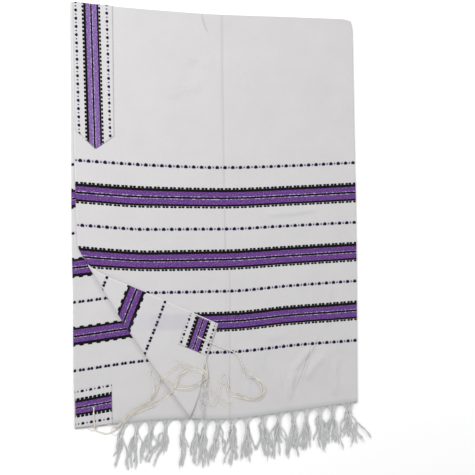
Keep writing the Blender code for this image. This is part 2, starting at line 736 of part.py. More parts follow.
def route(points, spacing):
    """Evenly spaced places on a smooth curve through a route's own points, in plan."""
    knots = [Vector(point) for point in points]
    knots = [2 * knots[0] - knots[1]] + knots + [2 * knots[-1] - knots[-2]]
    dense = []
    for before, start, end, after in zip(knots, knots[1:], knots[2:], knots[3:]):
        for t in spread(0, 1, 24)[:-1]:
            bend = 2 * before - 5 * start + 4 * end - after
            twist = 3 * start - before - 3 * end + after
            dense.append(0.5 * (2 * start + (end - before) * t + bend * t**2 + twist * t**3))
    dense.append(knots[-2])
    total = sum((b - a).length for a, b in zip(dense, dense[1:]))
    steps = max(round(total / spacing), 2)
    places, travelled = [dense[0]], 0.0
    for before, after in zip(dense, dense[1:]):
        travelled += (after - before).length
        if len(places) < steps and travelled >= total * len(places) / steps:
            places.append(after)
    return places + [dense[-1]]


def lefts_along(places):
    """The left-hand direction at each place of a route, in plan."""
    ends = [places[0]] + places + [places[-1]]
    runs = [after - before for before, after in zip(ends, ends[2:])]
    return [Vector((-run.y, run.x)).normalized() for run in runs]


def resting_heights(places, over):
    """Heights of a string's underside along a route, eased over steps in what it lies on."""
    raw = [over(place) for place in places]
    last = len(raw) - 1
    raised = [max(raw[max(i - 1, 0) : i + 2]) for i in range(last + 1)]
    befores, afters = raised[:1] + raised[:-1], raised[1:] + raised[-1:]
    eased = [(before + 2 * here + after) / 4 for before, here, after in zip(befores, raised, afters)]
    return [max(a, b) for a, b in zip(raw, eased)]


def skin(shape, ring, following):
    """Faces round the stretch between two rings with as many points."""
    for k in range(len(ring)):
        n = (k + 1) % len(ring)
        shape.faces.new((ring[k], ring[n], following[n], following[k]))


def tassel(cord_points, upper_route, lower_route, upper_settles, over):
    """A wound cord from a corner's eyelet. Its end parts into two layers of four strings."""
    shape = bmesh.new()
    cord = route(cord_points, 0.0095)
    ring = None
    for place, left, underside in zip(cord, lefts_along(cord), resting_heights(cord, over)):
        following = []
        for k in range(CORD_SIDES):
            turn = 2 * math.pi * (k + 1) / CORD_SIDES
            spot = place + left * math.cos(turn) * CORD_RADIUS
            height = underside + CORD_RADIUS * (1 + math.sin(turn))
            following.append(shape.verts.new((spot.x, spot.y, height)))
        if ring:
            skin(shape, ring, following)
        else:
            shape.faces.new(following)
        ring = following
    left = lefts_along(cord)[-1]
    forward = Vector((left.y, -left.x))
    foot = cord[-1] + forward * 0.005
    level = resting_heights(cord, over)[-1] + STRING_PITCH
    block = []
    for column in spread(2, -2, 4):
        spot = foot + left * column * STRING_PITCH
        rises = (STRING_PITCH, 0.0, -0.9 * STRING_PITCH)
        block.append([shape.verts.new((spot.x, spot.y, level + rise)) for rise in rises])
    rim = [column[0] for column in block] + [block[4][1]]
    rim += [column[2] for column in reversed(block)] + [block[0][1]]
    skin(shape, ring, rim)
    start = foot + forward * 0.004
    for layer, points in enumerate((upper_route, lower_route)):
        for column in range(4):
            corners = (
                block[column][layer],
                block[column + 1][layer],
                block[column + 1][layer + 1],
                block[column][layer + 1],
            )
            path = [start] + [Vector(point) for point in points]
            rise = STRING_PITCH if layer == 0 else 0.0
            settles = upper_settles if layer == 0 else 0.0
            draw_string(shape, corners, path, 1.5 - column, rise, settles, over)
    bmesh.ops.recalc_face_normals(shape, faces=shape.faces[:])
    return shape


def draw_string(shape, corners, points, lane, rise, settles, over):
    """One four-sided string in its own lane of a route. A raised one settles over a share of it."""
    middle_line = route(points, 0.0090)
    lefts = lefts_along(middle_line)
    last = len(middle_line) - 1
    lanes = []
    for i, (place, left) in enumerate(zip(middle_line, lefts)):
        lanes.append(place + left * lane * (STRING_PITCH + TAIL_SPREAD * (i / last) ** 3))
    ring = corners
    for i, (place, left, underside) in enumerate(zip(lanes, lefts, resting_heights(lanes, over))):
        fall = ease(i / last / settles) if settles else 0.0
        level = underside + STRING_SIZE / 2 + rise * (1 - fall)
        half = STRING_SIZE / 2
        following = []
        for side, up in ((1, 1), (-1, 1), (-1, -1), (1, -1)):
            spot = place + left * half * side
            following.append(shape.verts.new((spot.x, spot.y, level + half * up)))
        skin(shape, ring, following)
        ring = following
    shape.faces.new(ring)


class LaidSurfaces:
    """The pieces laid so far, asked for the height on top of them."""

    def __init__(self):
        self.trees = []

    def add(self, shape, half_thickness):
        self.trees.append((BVHTree.FromBMesh(shape), half_thickness))

    def height(self, place):
        """The height just over the uppermost piece within a string's reach, or over the table."""
        best = 0.0
        for dx, dy in STRING_REACH:
            above = Vector((place.x + dx, place.y + dy, 0.2))
            for tree, half_thickness in self.trees:
                hit = tree.ray_cast(above, Vector((0, 0, -1)))[0]
                if hit:
                    best = max(best, hit.z + half_thickness)
        return best + STRING_CLEARANCE


for old in list(bpy.data.objects):
    bpy.data.objects.remove(old, do_unlink=True)

LAID_CLOTH = bpy.data.objects.new("laid_cloth", None)
LAID_CLOTH.location = (*CLOTH_MIDDLE, 0.0)
bpy.context.scene.collection.objects.link(LAID_CLOTH)

wool = material("wool", WOOL_WHITE, 0.85)
striped_cloth = material("striped_cloth", BAND_PURPLE, 0.75)
fringe_wool = material("fringe_wool", FRINGE_WHITE, 0.85)
ivory = material("ivory_string", STRING_IVORY, 0.80)

pile = LaidSurfaces()
for name, sheet, look, wall in (
    ("front_half", laid_front(), wool, WALL),
    ("back_half", laid_back(), wool, WALL),
    ("neckband", neckband(), striped_cloth, BAND_THICKNESS),
    ("corner_patch_front", front_patch(), striped_cloth, PATCH_THICKNESS),
    ("corner_patch_back", back_patch(), striped_cloth, PATCH_THICKNESS),
):
    pile.add(sheet, wall / 2)
    add_piece(name, sheet, look, wall)
add_piece("hidden_layers", hidden_layers(), wool)

for name, shape in (
    ("fringe_corner", corner_fringe()),
    ("fringe_front", front_fringe()),
    ("fringe_back", back_fringe()),
    ("fringe_hidden", hidden_fringe()),
):
    pile.add(shape, 0.0)
    add_piece(name, shape, fringe_wool)

for name, cord, upper, lower, upper_settles in (
    ("tassel_front", FRONT_CORD, FRONT_UPPER_STRINGS, FRONT_LOWER_STRINGS, 0.0),
    ("tassel_back", BACK_CORD, BACK_UPPER_STRINGS, BACK_LOWER_STRINGS, 0.3),
):
    add_piece(name, tassel(cord, upper, lower, upper_settles, pile.height), ivory)
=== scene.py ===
"""A striped prayer shawl, folded to a quarter and laid flat with one corner turned over."""
import math
import random
from collections import namedtuple

import bmesh
import bpy
from mathutils import Euler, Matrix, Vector
from mathutils.bvhtree import BVHTree


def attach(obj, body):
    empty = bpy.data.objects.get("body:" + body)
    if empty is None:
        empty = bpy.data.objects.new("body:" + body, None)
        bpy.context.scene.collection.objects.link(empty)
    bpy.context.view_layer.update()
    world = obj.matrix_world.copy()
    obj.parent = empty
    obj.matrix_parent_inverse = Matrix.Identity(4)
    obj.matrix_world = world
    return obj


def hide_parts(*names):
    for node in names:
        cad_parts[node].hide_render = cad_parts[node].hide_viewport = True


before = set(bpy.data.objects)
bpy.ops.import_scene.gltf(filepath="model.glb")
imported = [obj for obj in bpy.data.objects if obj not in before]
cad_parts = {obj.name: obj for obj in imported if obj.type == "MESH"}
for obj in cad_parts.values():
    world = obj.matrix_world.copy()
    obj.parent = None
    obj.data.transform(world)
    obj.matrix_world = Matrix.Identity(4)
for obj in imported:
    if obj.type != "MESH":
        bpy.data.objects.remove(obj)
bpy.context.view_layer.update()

# Camera
# It looks down on the laid shawl from about its own height, a little from the left of its middle.
# Places on the cloth are measured from the middle of the folded rectangle, which lies here.
CLOTH_MIDDLE = (-0.0094, 0.0789)
CAMERA_FROM_MIDDLE = (-0.2184, -0.0966)
CAMERA_HEIGHT = 1.6422
CAMERA_TURNS = (0.759, -9.191, -0.324)

camera_data = bpy.data.cameras.new("camera")
camera_data.lens = 50
camera_data.sensor_width = 36
camera = bpy.data.objects.new("camera", camera_data)
camera.location = (*(Vector(CLOTH_MIDDLE) + Vector(CAMERA_FROM_MIDDLE)), CAMERA_HEIGHT)
camera.rotation_euler = Euler([math.radians(turn) for turn in CAMERA_TURNS], "XYZ")
bpy.context.scene.collection.objects.link(camera)
bpy.context.scene.camera = camera
bpy.context.scene.view_settings.view_transform = "Standard"

# Light
# A broad soft box stands at the upper left, and a small one low at the right draws the edges of folds
# and the creases. White room light fills the rest.
world = bpy.data.worlds.new("room")
world.use_nodes = True
world.node_tree.nodes["Background"].inputs["Color"].default_value = (1.0, 1.0, 1.0, 1.0)
world.node_tree.nodes["Background"].inputs["Strength"].default_value = 0.64
bpy.context.scene.world = world


def soft_box(name, place, aims_at, size, power):
    data = bpy.data.lights.new(name, "AREA")
    data.shape = "DISK"
    data.size = size
    data.energy = power
    box = bpy.data.objects.new(name, data)
    box.location = place
    box.rotation_euler = (Vector(aims_at) - Vector(place)).to_track_quat("-Z", "Y").to_euler()
    bpy.context.scene.collection.objects.link(box)


soft_box("upper_left_light", place=(-1.1, 0.8, 1.8), aims_at=(-0.2, 0.2, 0.0), size=1.1, power=31.0)
soft_box("right_light", place=(2.4, 0.5, 1.5), aims_at=(0.0, 0.0, 0.0), size=0.25, power=17.0)

# Top layer of the cloth
# One half of the shawl, a single rectangle of woven wool, right side up. It rolls under along the two
# folded edges, and its neck corner is turned over, so that the wrong side and the layer below show.
FOLDED_WIDTH = 0.710
CLOTH_THICKNESS = 0.0012
SEWN_GAP = 0.0003
LOFT = 0.0007
HEM_ALONG = 1.005
HIDDEN_TOP = 0.0040
BACK_MIDDLE = HIDDEN_TOP + SEWN_GAP + CLOTH_THICKNESS / 2
FRONT_MIDDLE = BACK_MIDDLE + CLOTH_THICKNESS + LOFT
SIDE_ROLL_RADIUS = 0.0036
TOP_ROLL_RADIUS = 0.0023
ROLL_TURN = math.radians(160)
SOFT_CORNER = 0.0045
SOFT_CORNER_REACH = 0.016
FOLDED_CORNER = (0.353, 0.489)
SIDE_SWELL = 0.0008
SIDE_SWELL_REACH = 0.022
TOP_SWELL = 0.0006
TOP_SWELL_REACH = 0.020
FRONT_MESH_SPACING = 0.0043

# Each row is a line across half of the cloth, at its distance along from the middle fold.
Row = namedtuple("Row", "along x_neck x_fold y_neck y_quarter y_middle y_three_quarters y_fold")
FRONT_ROWS = (
    Row(0.000, -0.3605, 0.3520, 0.4970, 0.4885, 0.4845, 0.4870, 0.4890),
    Row(0.384, -0.3520, 0.3565, 0.1135, 0.1035, 0.0995, 0.1065, 0.1170),
    Row(0.539, -0.3475, 0.3585, -0.0445, -0.0555, -0.0550, -0.0468, -0.0378),
    Row(0.595, -0.3440, 0.3585, -0.1000, -0.1120, -0.1105, -0.1020, -0.0930),
    Row(0.630, -0.3280, 0.3585, -0.1350, -0.1470, -0.1455, -0.1365, -0.1275),
    Row(0.693, -0.3215, 0.3585, -0.1990, -0.2110, -0.2103, -0.1985, -0.1892),
    Row(0.847, -0.3200, 0.3578, -0.3500, -0.3620, -0.3622, -0.3500, -0.3415),
    Row(1.005, -0.3200, 0.3577, -0.4940, -0.5120, -0.5300, -0.5165, -0.5010),
)

CORNER_FOLD_START = (-0.3441, -0.1026)
CORNER_FOLD_END = (-0.0679, -0.5322)
CORNER_ROLL_RADIUS = 0.0070
CORNER_ROLL_TUCK = 0.0014
CORNER_ROLL_TOP = 0.0062
CORNER_ROLL_CUTS = 12
CORNER_BOW = 0.0080
CORNER_BOW_REACH = 0.050
CORNER_SETTLES_WITHIN = 0.075
SETTLES_SOONER_PAST = 0.70
SETTLES_SOONER_BY = 0.55
HEM_DIP = 0.0100
HEM_DIP_FROM = 0.90
HEM_DIP_ACROSS = 0.27
HEM_DIP_WIDTH = 0.055

Swell = namedtuple("Swell", "x y length width heading height")
SWELLS = (
    Swell(0.266, -0.385, 0.230, 0.030, 50, 0.0035),
    Swell(0.168, -0.452, 0.150, 0.026, 75, 0.0028),
    Swell(0.322, -0.290, 0.200, 0.024, 96, 0.0022),
    Swell(0.022, -0.020, 0.800, 0.018, 91, 0.0012),
    Swell(-0.020, 0.330, 0.240, 0.045, 25, 0.0016),
)

# Finer creases of the top layer: where each starts and ends, its half width, and its height, which
# is negative for a trough
Crease = namedtuple("Crease", "x_start y_start x_end y_end width height")
FRONT_CREASES = (
    Crease(0.0099, 0.4827, 0.0130, 0.1181, 0.0040, -0.0014),
    Crease(0.0130, 0.1400, 0.0211, -0.2574, 0.0038, -0.0013),
    Crease(0.0205, -0.2300, 0.0239, -0.4900, 0.0042, -0.0017),
    Crease(0.2528, -0.3618, 0.1972, -0.4285, 0.0080, -0.0030),
    Crease(0.2400, -0.3520, 0.1840, -0.4190, 0.0080, 0.0040),
    Crease(0.2700, -0.3700, 0.2100, -0.4400, 0.0110, 0.0044),
    Crease(0.2010, -0.4150, 0.1909, -0.4850, 0.0070, -0.0026),
    Crease(0.1860, -0.4100, 0.1760, -0.4950, 0.0080, 0.0034),
    Crease(0.2650, -0.2000, 0.2580, -0.3000, 0.0100, -0.0016),
    Crease(0.2820, -0.1900, 0.2760, -0.3100, 0.0110, 0.0030),
    Crease(0.1150, -0.0200, 0.2600, -0.0050, 0.0070, 0.0024),
    Crease(0.1500, 0.0050, 0.2400, 0.0120, 0.0080, -0.0012),
    Crease(-0.0520, 0.4500, -0.0430, 0.4100, 0.0045, 0.0020),
    Crease(-0.0960, 0.3560, -0.0500, 0.3740, 0.0100, 0.0022),
    Crease(-0.0560, 0.3720, -0.0080, 0.3500, 0.0100, 0.0020),
    Crease(-0.1350, 0.2800, -0.0800, 0.2880, 0.0110, 0.0020),
    Crease(-0.0900, 0.2860, -0.0350, 0.3120, 0.0110, 0.0022),
    Crease(-0.2300, 0.2500, -0.1500, 0.2350, 0.0150, 0.0016),
    Crease(0.0950, -0.4050, 0.0800, -0.5000, 0.0085, -0.0018),
    Crease(0.0780, -0.3950, 0.0640, -0.5000, 0.0100, 0.0016),
    Crease(0.3060, -0.3700, 0.2920, -0.4900, 0.0090, 0.0036),
    Crease(0.1300, -0.4600, 0.1420, -0.5150, 0.0070, -0.0016),
    Crease(-0.0200, -0.4650, -0.0300, -0.5200, 0.0070, 0.0014),
    Crease(0.3300, 0.2600, 0.3000, 0.2100, 0.0090, 0.0012),
    Crease(-0.0500, -0.1450, 0.0900, -0.1380, 0.0090, 0.0010),
    Crease(0.0700, 0.0400, 0.0300, 0.0750, 0.0080, 0.0012),
    Crease(0.1100, -0.3300, 0.1800, -0.3200, 0.0100, 0.0014),
    Crease(-0.3000, 0.0300, -0.2300, 0.0200, 0.0100, 0.0012),
)
CREASE_WANDER = 0.15
CREASE_TAPER = 0.025
BESIDE_CREASE = 1.9
BESIDE_CREASE_DEPTH = 0.35
CREASE_ROOM = 0.0006

# The crease down the middle that the shawl was stored with: three of its places, and how far to each
# side of it the mesh is cut, so that it comes out sharp
STORAGE_CREASE = ((0.0099, 0.4827), (0.0130, 0.1181), (0.0239, -0.4900))
STORAGE_CREASE_SIDE = 0.003


def smooth_value(places, values, place):
    """Reads a smooth curve through the values, which doesn't swing past them between places."""
    place = min(max(place, places[0]), places[-1])
    last = len(places) - 2
    i = next((k for k in range(last) if place < places[k + 1]), last)
    runs = [b - a for a, b in zip(places, places[1:])]
    slopes = [(b - a) / run for a, b, run in zip(values, values[1:], runs)]

    def tangent(k):
        if k == 0:
            return slopes[0]
        if k == len(slopes):
            return slopes[-1]
        before, after = slopes[k - 1], slopes[k]
        if before * after <= 0:
            return 0.0
        return 2 * before * after / (before + after)

    share = (place - places[i]) / runs[i]
    rise = runs[i] * share * (1 - share)
    blend = share * share * (3 - 2 * share)
    start_part = rise * (1 - share) * tangent(i)
    end_part = rise * share * tangent(i + 1)
    return values[i] * (1 - blend) + values[i + 1] * blend + start_part - end_part


def ease(share):
    share = min(max(share, 0.0), 1.0)
    return share * share * (3 - 2 * share)


def spread(first, last, steps):
    """Evenly spaced places from first to last, both included."""
    return [first + (last - first) * k / steps for k in range(steps + 1)]


row_lines = {}


def plan_place(rows, across, along):
    """Where a point of a half of the cloth lies on the table, seen from above."""
    key = (rows[0], round(along, 6))
    if key not in row_lines:
        places = [row.along for row in rows]
        columns = list(zip(*rows))[1:]
        row_lines[key] = Row(along, *(smooth_value(places, column, along) for column in columns))
    line = row_lines[key]
    share = across / FOLDED_WIDTH
    y = smooth_value((0, 0.25, 0.5, 0.75, 1), line[3:], share)
    return line.x_neck + (line.x_fold - line.x_neck) * share, y


def soften_corner(x, y):
    """Draws the folded corner in, because the thick folded edges round it."""
    away = math.dist((x, y), FOLDED_CORNER) / SOFT_CORNER_REACH
    draw = SOFT_CORNER * math.exp(-away * away)
    return x - draw, y - draw


def swell_height(x, y):
    """How far the soft folds lift the top layer at a place."""
    height = 0.0
    for swell in SWELLS:
        turn = math.radians(swell.heading)
        dx, dy = x - swell.x, y - swell.y
        length_share = 2 * (dx * math.cos(turn) + dy * math.sin(turn)) / swell.length
        width_share = (dy * math.cos(turn) - dx * math.sin(turn)) / swell.width
        if abs(length_share) < 1:
            height += swell.height * (1 - length_share**2) ** 2 * math.exp(-(width_share**2))
    return height


def crease_height(creases, x, y):
    """How far the fine creases lift or sink the cloth at a place."""
    height = 0.0
    for crease in creases:
        run_x, run_y = crease.x_end - crease.x_start, crease.y_end - crease.y_start
        length = math.hypot(run_x, run_y)
        dx, dy = x - crease.x_start, y - crease.y_start
        share = (dx * run_x + dy * run_y) / length**2
        if 0 < share < 1:
            wander = CREASE_WANDER * crease.width * math.sin(9 * share + 40 * crease.width)
            off = ((dx * run_y - dy * run_x) / length + wander) / crease.width
            taper = min(share, 1 - share) * length / CREASE_TAPER
            if abs(off) < 4:
                beside = BESIDE_CREASE_DEPTH * math.exp(-((off - BESIDE_CREASE) ** 2))
                height += crease.height * (math.exp(-off * off) - beside) * ease(taper)
    return height


def front_height(x, y):
    """Height of the middle of the top layer: it swells beside its folded edges."""
    side = max(FRONT_ROWS[1].x_fold - x, 0) / SIDE_SWELL_REACH
    top = max(FRONT_ROWS[0].y_middle - y, 0) / TOP_SWELL_REACH
    edge_swell = SIDE_SWELL * math.exp(-side * side) + TOP_SWELL * math.exp(-top * top)
    return FRONT_MIDDLE + edge_swell + swell_height(x, y)


class CornerFold:
    """The line that the corner is turned over, and where points past it go."""

    def __init__(self):
        start, end = Vector(CORNER_FOLD_START), Vector(CORNER_FOLD_END)
        self.along = (end - start).normalized()
        self.outward = Vector((self.along.y, -self.along.x))
        self.origin = start - self.outward * (CORNER_ROLL_RADIUS + CLOTH_THICKNESS / 2)
        self.length = (end - start).length
        self.arc = math.pi * CORNER_ROLL_RADIUS

    def past(self, x, y):
        """Distance past the start of the roll, and distance along the line."""
        offset = Vector((x, y)) - self.origin
        return offset.dot(self.outward), offset.dot(self.along)

    def place(self, x, y):
        """The point's place once the corner is over, with its height over the lying layer."""
        beyond, along = self.past(x, y)
        if beyond <= 0:
            outward, lift, away = beyond, 0.0, -beyond
        elif beyond < self.arc:
            angle = beyond / CORNER_ROLL_RADIUS
            outward = CORNER_ROLL_RADIUS * math.sin(angle)
            if angle < math.pi / 2:
                lift = CORNER_ROLL_TUCK * (1 - math.cos(angle))
            else:
                lift = CORNER_ROLL_TUCK - (CORNER_ROLL_TOP - CORNER_ROLL_TUCK) * math.cos(angle)
            away = 0.0
        else:
            away = beyond - self.arc
            outward = -away
            resting = CLOTH_THICKNESS + LOFT
            near_hem = ease((along / self.length - SETTLES_SOONER_PAST) / (1 - SETTLES_SOONER_PAST))
            fall = ease(away / (CORNER_SETTLES_WITHIN * (1 - SETTLES_SOONER_BY * near_hem)))
            lift = CORNER_ROLL_TOP + (resting - CORNER_ROLL_TOP) * fall
        share = min(max(along / self.length, 0), 1)
        bow = CORNER_BOW * math.sin(math.pi * share) * math.exp(-((away / CORNER_BOW_REACH) ** 2))
        spot = self.origin + self.along * along + self.outward * (outward + bow)
        return spot.x, spot.y, lift


FOLD = CornerFold()


def front_plan(across, along):
    """Plan place in the top layer, with its hem's dip where the corner fold ends."""
    x, y = plan_place(FRONT_ROWS, across, along)
    nearness = math.exp(-(((across - HEM_DIP_ACROSS * FOLDED_WIDTH) / HEM_DIP_WIDTH) ** 2))
    return x, y - HEM_DIP * nearness * ease((along - HEM_DIP_FROM) / (HEM_ALONG - HEM_DIP_FROM))


def rolled_edges(x, y, side_arc, top_arc):
    """Carries a point of the folded edges round their rolls. Returns its place and its drop."""
    side_share = side_arc / (SIDE_ROLL_RADIUS * ROLL_TURN)
    top_share = top_arc / (TOP_ROLL_RADIUS * ROLL_TURN)
    share = max(side_share, top_share)
    if share == 0:
        return x, y, 0.0
    if side_share >= top_share:
        turn = math.pi / 4 * top_share / side_share
    else:
        turn = math.pi / 2 - math.pi / 4 * side_share / top_share
    radius = SIDE_ROLL_RADIUS + (TOP_ROLL_RADIUS - SIDE_ROLL_RADIUS) * turn / (math.pi / 2)
    outward = radius * math.sin(share * ROLL_TURN)
    drop = radius * (1 - math.cos(share * ROLL_TURN))
    return x + outward * math.cos(turn), y + outward * math.sin(turn), drop


def front_flat_point(across, along, side_arc=0.0, top_arc=0.0):
    """A point of the top layer with its corner still down, z being its drop round an edge."""
    x, y = soften_corner(*front_plan(across, along))
    x, y, drop = rolled_edges(x, y, side_arc, top_arc)
    return Vector((x, y, -drop))


def front_laid_point(flat):
    """The same point after the corner is turned over, at its real height."""
    x, y, lift = FOLD.place(flat.x, flat.y)
    turned = ease(FOLD.past(flat.x, flat.y)[0] / FOLD.arc)
    room_below = CREASE_ROOM + 0.8 * swell_height(x, y)
    creases = max(crease_height(FRONT_CREASES, x, y), -room_below) * (1 - turned)
    height = front_height(x, y) + creases + lift + flat.z
    return Vector((x, y, max(height, CLOTH_THICKNESS / 2)))


def cut_along(sheet, spot, outward):
    """Cuts a sheet in plan along a line, so that a fold there bends cleanly."""
    bmesh.ops.bisect_plane(
        sheet,
        geom=sheet.verts[:] + sheet.edges[:] + sheet.faces[:],
        dist=0.0003,
        plane_co=(spot[0], spot[1], 0),
        plane_no=(outward[0], outward[1], 0),
    )


def cloth_grid(rows):
    """A mesh in progress from rows of (place, across, along), which it carries at each point."""
    sheet = bmesh.new()
    layers = sheet.verts.layers.float.new("across"), sheet.verts.layers.float.new("along")
    made = []
    for row in rows:
        line = []
        for place, across, along in row:
            vert = sheet.verts.new(place)
            vert[layers[0]] = across
            vert[layers[1]] = along
            line.append(vert)
        made.append(line)
    for upper, lower in zip(made, made[1:]):
        for a, b, c, d in zip(upper, lower, lower[1:], upper[1:]):
            sheet.faces.new((a, b, c, d))
    return sheet


def cloth_piece(name, sheet, looks, thickness):
    """Makes a piece from a sheet, with a wall about it and its cloth places as a UV map in metres."""
    across, along = sheet.verts.layers.float["across"], sheet.verts.layers.float["along"]
    weave = sheet.loops.layers.uv.new("weave")
    for face in sheet.faces:
        face.smooth = True
        for loop in face.loops:
            loop[weave].uv = (loop.vert[across], loop.vert[along])
    mesh = bpy.data.meshes.new(name)
    sheet.to_mesh(mesh)
    sheet.free()
    for look in looks:
        mesh.materials.append(look)
    piece = bpy.data.objects.new(name, mesh)
    piece.location = (*CLOTH_MIDDLE, 0.0)
    bpy.context.scene.collection.objects.link(piece)
    wall = piece.modifiers.new("wall", "SOLIDIFY")
    wall.thickness = thickness
    wall.offset = 0.0
    wall.use_even_offset = True
    wall.material_offset = len(looks) - 1
    wall.material_offset_rim = 0
    return piece


class Field:
    """A value or colour that varies over a surface. Arithmetic on it adds nodes to its material."""

    def __init__(self, tree, socket=None):
        self.tree = tree
        self.socket = socket

    def node(self, kind, settings, inputs, output=0):
        """Adds a node: first its settings, then the values or links of its sockets."""
        node = self.tree.nodes.new(kind)
        for name, setting in settings.items():
            if name == "stops":
                ramp = node.color_ramp
                while len(ramp.elements) < len(setting):
                    ramp.elements.new(1.0)
                for stop, (place, colour) in zip(ramp.elements, setting):
                    stop.position = place
                    stop.color = (*colour, 1.0)
            else:
                setattr(node, name, setting)
        for key, given in inputs.items():
            if isinstance(given, Field):
                self.tree.links.new(given.socket, node.inputs[key])
            else:
                node.inputs[key].default_value = given
        return Field(self.tree, node.outputs[output])

    def math(self, operation, *values):
        return self.node("ShaderNodeMath", {"operation": operation}, dict(enumerate(values)))

    def __add__(self, other):
        return self.math("ADD", self, other)

    def __radd__(self, other):
        return self.math("ADD", other, self)

    def __sub__(self, other):
        return self.math("SUBTRACT", self, other)

    def __rsub__(self, other):
        return self.math("SUBTRACT", other, self)

    def __mul__(self, other):
        return self.math("MULTIPLY", self, other)

    def __rmul__(self, other):
        return self.math("MULTIPLY", other, self)

    def __truediv__(self, other):
        return self.math("DIVIDE", self, other)

    def __abs__(self):
        return self.math("ABSOLUTE", self)

    def wave(self, pitch):
        """A sine of this distance, with a pitch in metres."""
        return self.math("SINE", self * (2 * math.pi / pitch))

    def repeat(self, pitch):
        """Distance from the middle of the nearest repeat, which is negative on one side."""
        return self.math("WRAP", self, pitch / 2, -pitch / 2)

    def below(self, edge, soft):
        """1 under an edge and 0 over it, softly."""
        limits = {0: self, 1: edge - soft, 2: edge + soft, 3: 1.0, 4: 0.0}
        return self.node("ShaderNodeMapRange", {"interpolation_type": "SMOOTHSTEP"}, limits)

    def between(self, low, high, soft):
        return self.below(high, soft) * (1 - self.below(low, soft))

    def blend(self, at_zero, at_one):
        """The colour between two that this value asks for."""
        settings = {"data_type": "RGBA"}
        ends = [end if isinstance(end, Field) else (*end, 1) for end in (at_zero, at_one)]
        return self.node("ShaderNodeMix", settings, {0: self, 6: ends[0], 7: ends[1]}, 2)

    def tint(self, colour, mask):
        """This colour, with another laid over it where a mask is 1."""
        return mask.blend(self, colour)

    def mottle(self, scale, detail=2.0, roughness=0.5):
        """Noise about 0.5 at a place field, with a scale for each metre."""
        sockets = {"Vector": self, "Scale": scale, "Detail": detail, "Roughness": roughness}
        return self.node("ShaderNodeTexNoise", {"noise_dimensions": "3D"}, sockets)

    def stretched(self, x_scale, y_scale, shift=0.0):
        """A place field from this one, scaled by its own amounts across and along."""
        settings = {"operation": "MULTIPLY_ADD"}
        sockets = {0: self, 1: (x_scale, y_scale, 1.0), 2: (shift, shift, shift)}
        return self.node("ShaderNodeVectorMath", settings, sockets)


def from_screen(red, green, blue):
    """A colour as a screen shows it, 0 to 255, in the linear values that shaders take."""
    return tuple(
        c / 255 / 12.92 if c / 255 <= 0.04045 else ((c / 255 + 0.055) / 1.055) ** 2.4
        for c in (red, green, blue)
    )


def new_look(name, uv_map, **sockets):
    """A material with fixed values on its shader. Returns it and its places on the cloth."""
    look = bpy.data.materials.new(name)
    look.use_nodes = True
    shader = look.node_tree.nodes["Principled BSDF"]
    for socket, value in sockets.items():
        shader.inputs[socket.replace("_", " ")].default_value = value
    place = Field(look.node_tree).node("ShaderNodeUVMap", {"uv_map": uv_map}, {})
    across = place.node("ShaderNodeSeparateXYZ", {}, {0: place}, 0)
    along = place.node("ShaderNodeSeparateXYZ", {}, {0: place}, 1)
    return look, place, across, along


def finish_look(look, colour, height, distance):
    """Feeds a material's shader with its colour, and with its relief in metres of depth."""
    tree = look.node_tree
    shader = tree.nodes["Principled BSDF"]
    tree.links.new(colour.socket, shader.inputs["Base Color"])
    normal = height.node("ShaderNodeBump", {}, {"Strength": 1.0, "Distance": distance, "Height": height})
    tree.links.new(normal.socket, shader.inputs["Normal"])


FineWrinkle = namedtuple("FineWrinkle", "across along reach heading width depth")
FINE_WRINKLES = (
    FineWrinkle(0.565, 0.905, 0.074, 67, 0.0050, 2.2),
    FineWrinkle(0.590, 0.860, 0.040, 60, 0.0030, 1.6),
    FineWrinkle(0.324, 0.024, 0.034, -74, 0.0022, 1.8),
    FineWrinkle(0.292, 0.120, 0.030, -20, 0.0022, 0.7),
    FineWrinkle(0.262, 0.190, 0.036, 12, 0.0026, 0.6),
    FineWrinkle(0.455, 0.880, 0.050, 80, 0.0024, 0.6),
    FineWrinkle(0.500, 0.930, 0.040, 100, 0.0020, 0.6),
    FineWrinkle(0.655, 0.900, 0.060, 84, 0.0030, 0.8),
    FineWrinkle(0.420, 0.640, 0.060, 8, 0.0024, 0.4),
    FineWrinkle(0.560, 0.470, 0.050, -6, 0.0024, 0.5),
    FineWrinkle(0.400, 0.960, 0.026, 40, 0.0020, 0.6),
)


def fine_wrinkles(across, along):
    """Sharp small wrinkles too fine for the mesh, each a soft groove, deepest at its middle."""
    grooves = None
    for wrinkle in FINE_WRINKLES:
        turn = math.radians(wrinkle.heading)
        run_across, run_along = math.cos(turn) / wrinkle.reach, -math.sin(turn) / wrinkle.reach
        off_across, off_along = math.sin(turn) / wrinkle.width, math.cos(turn) / wrinkle.width
        run = (across - wrinkle.across) * run_across + (along - wrinkle.along) * run_along
        off = (across - wrinkle.across) * off_across + (along - wrinkle.along) * off_along + run * run * 1.5
        groove = (run * run + off * off * 0.4).below(0.5, 0.5) * (off * off).below(0.5, 0.5) * wrinkle.depth
        grooves = groove if grooves is None else grooves + groove
    return grooves


WOOL = (0.640, 0.629, 0.634)
WOOL_SHADED = (0.468, 0.459, 0.468)
PURPLE = from_screen(88, 44, 120)
PURPLE_REDDER = from_screen(104, 49, 116)
PURPLE_DEEP = from_screen(72, 39, 116)
PURPLE_PALE = from_screen(146, 116, 178)
SPARKLE = from_screen(196, 186, 214)
BLACK_YARN = from_screen(9, 8, 12)
DOT_NAVY = from_screen(18, 12, 36)
DOT_LILAC = from_screen(88, 76, 126)
SHOW_THROUGH = from_screen(120, 112, 160)
# Painted shade along the hems
HEM_PAINTED_SHADE = from_screen(142, 152, 148)
# Painted highlight along the neck edge
SELVEDGE_HIGHLIGHT = from_screen(236, 235, 236)
# Painted shade down the storage crease
PAINTED_CREASE_SHADE = from_screen(96, 92, 100)
GAP_GREEN = from_screen(150, 154, 138)
DOTTED_ROWS = 4
WARP_PITCH = 0.0021
WEFT_PITCH = 0.0019
WEAVE_RELIEF = 0.00035


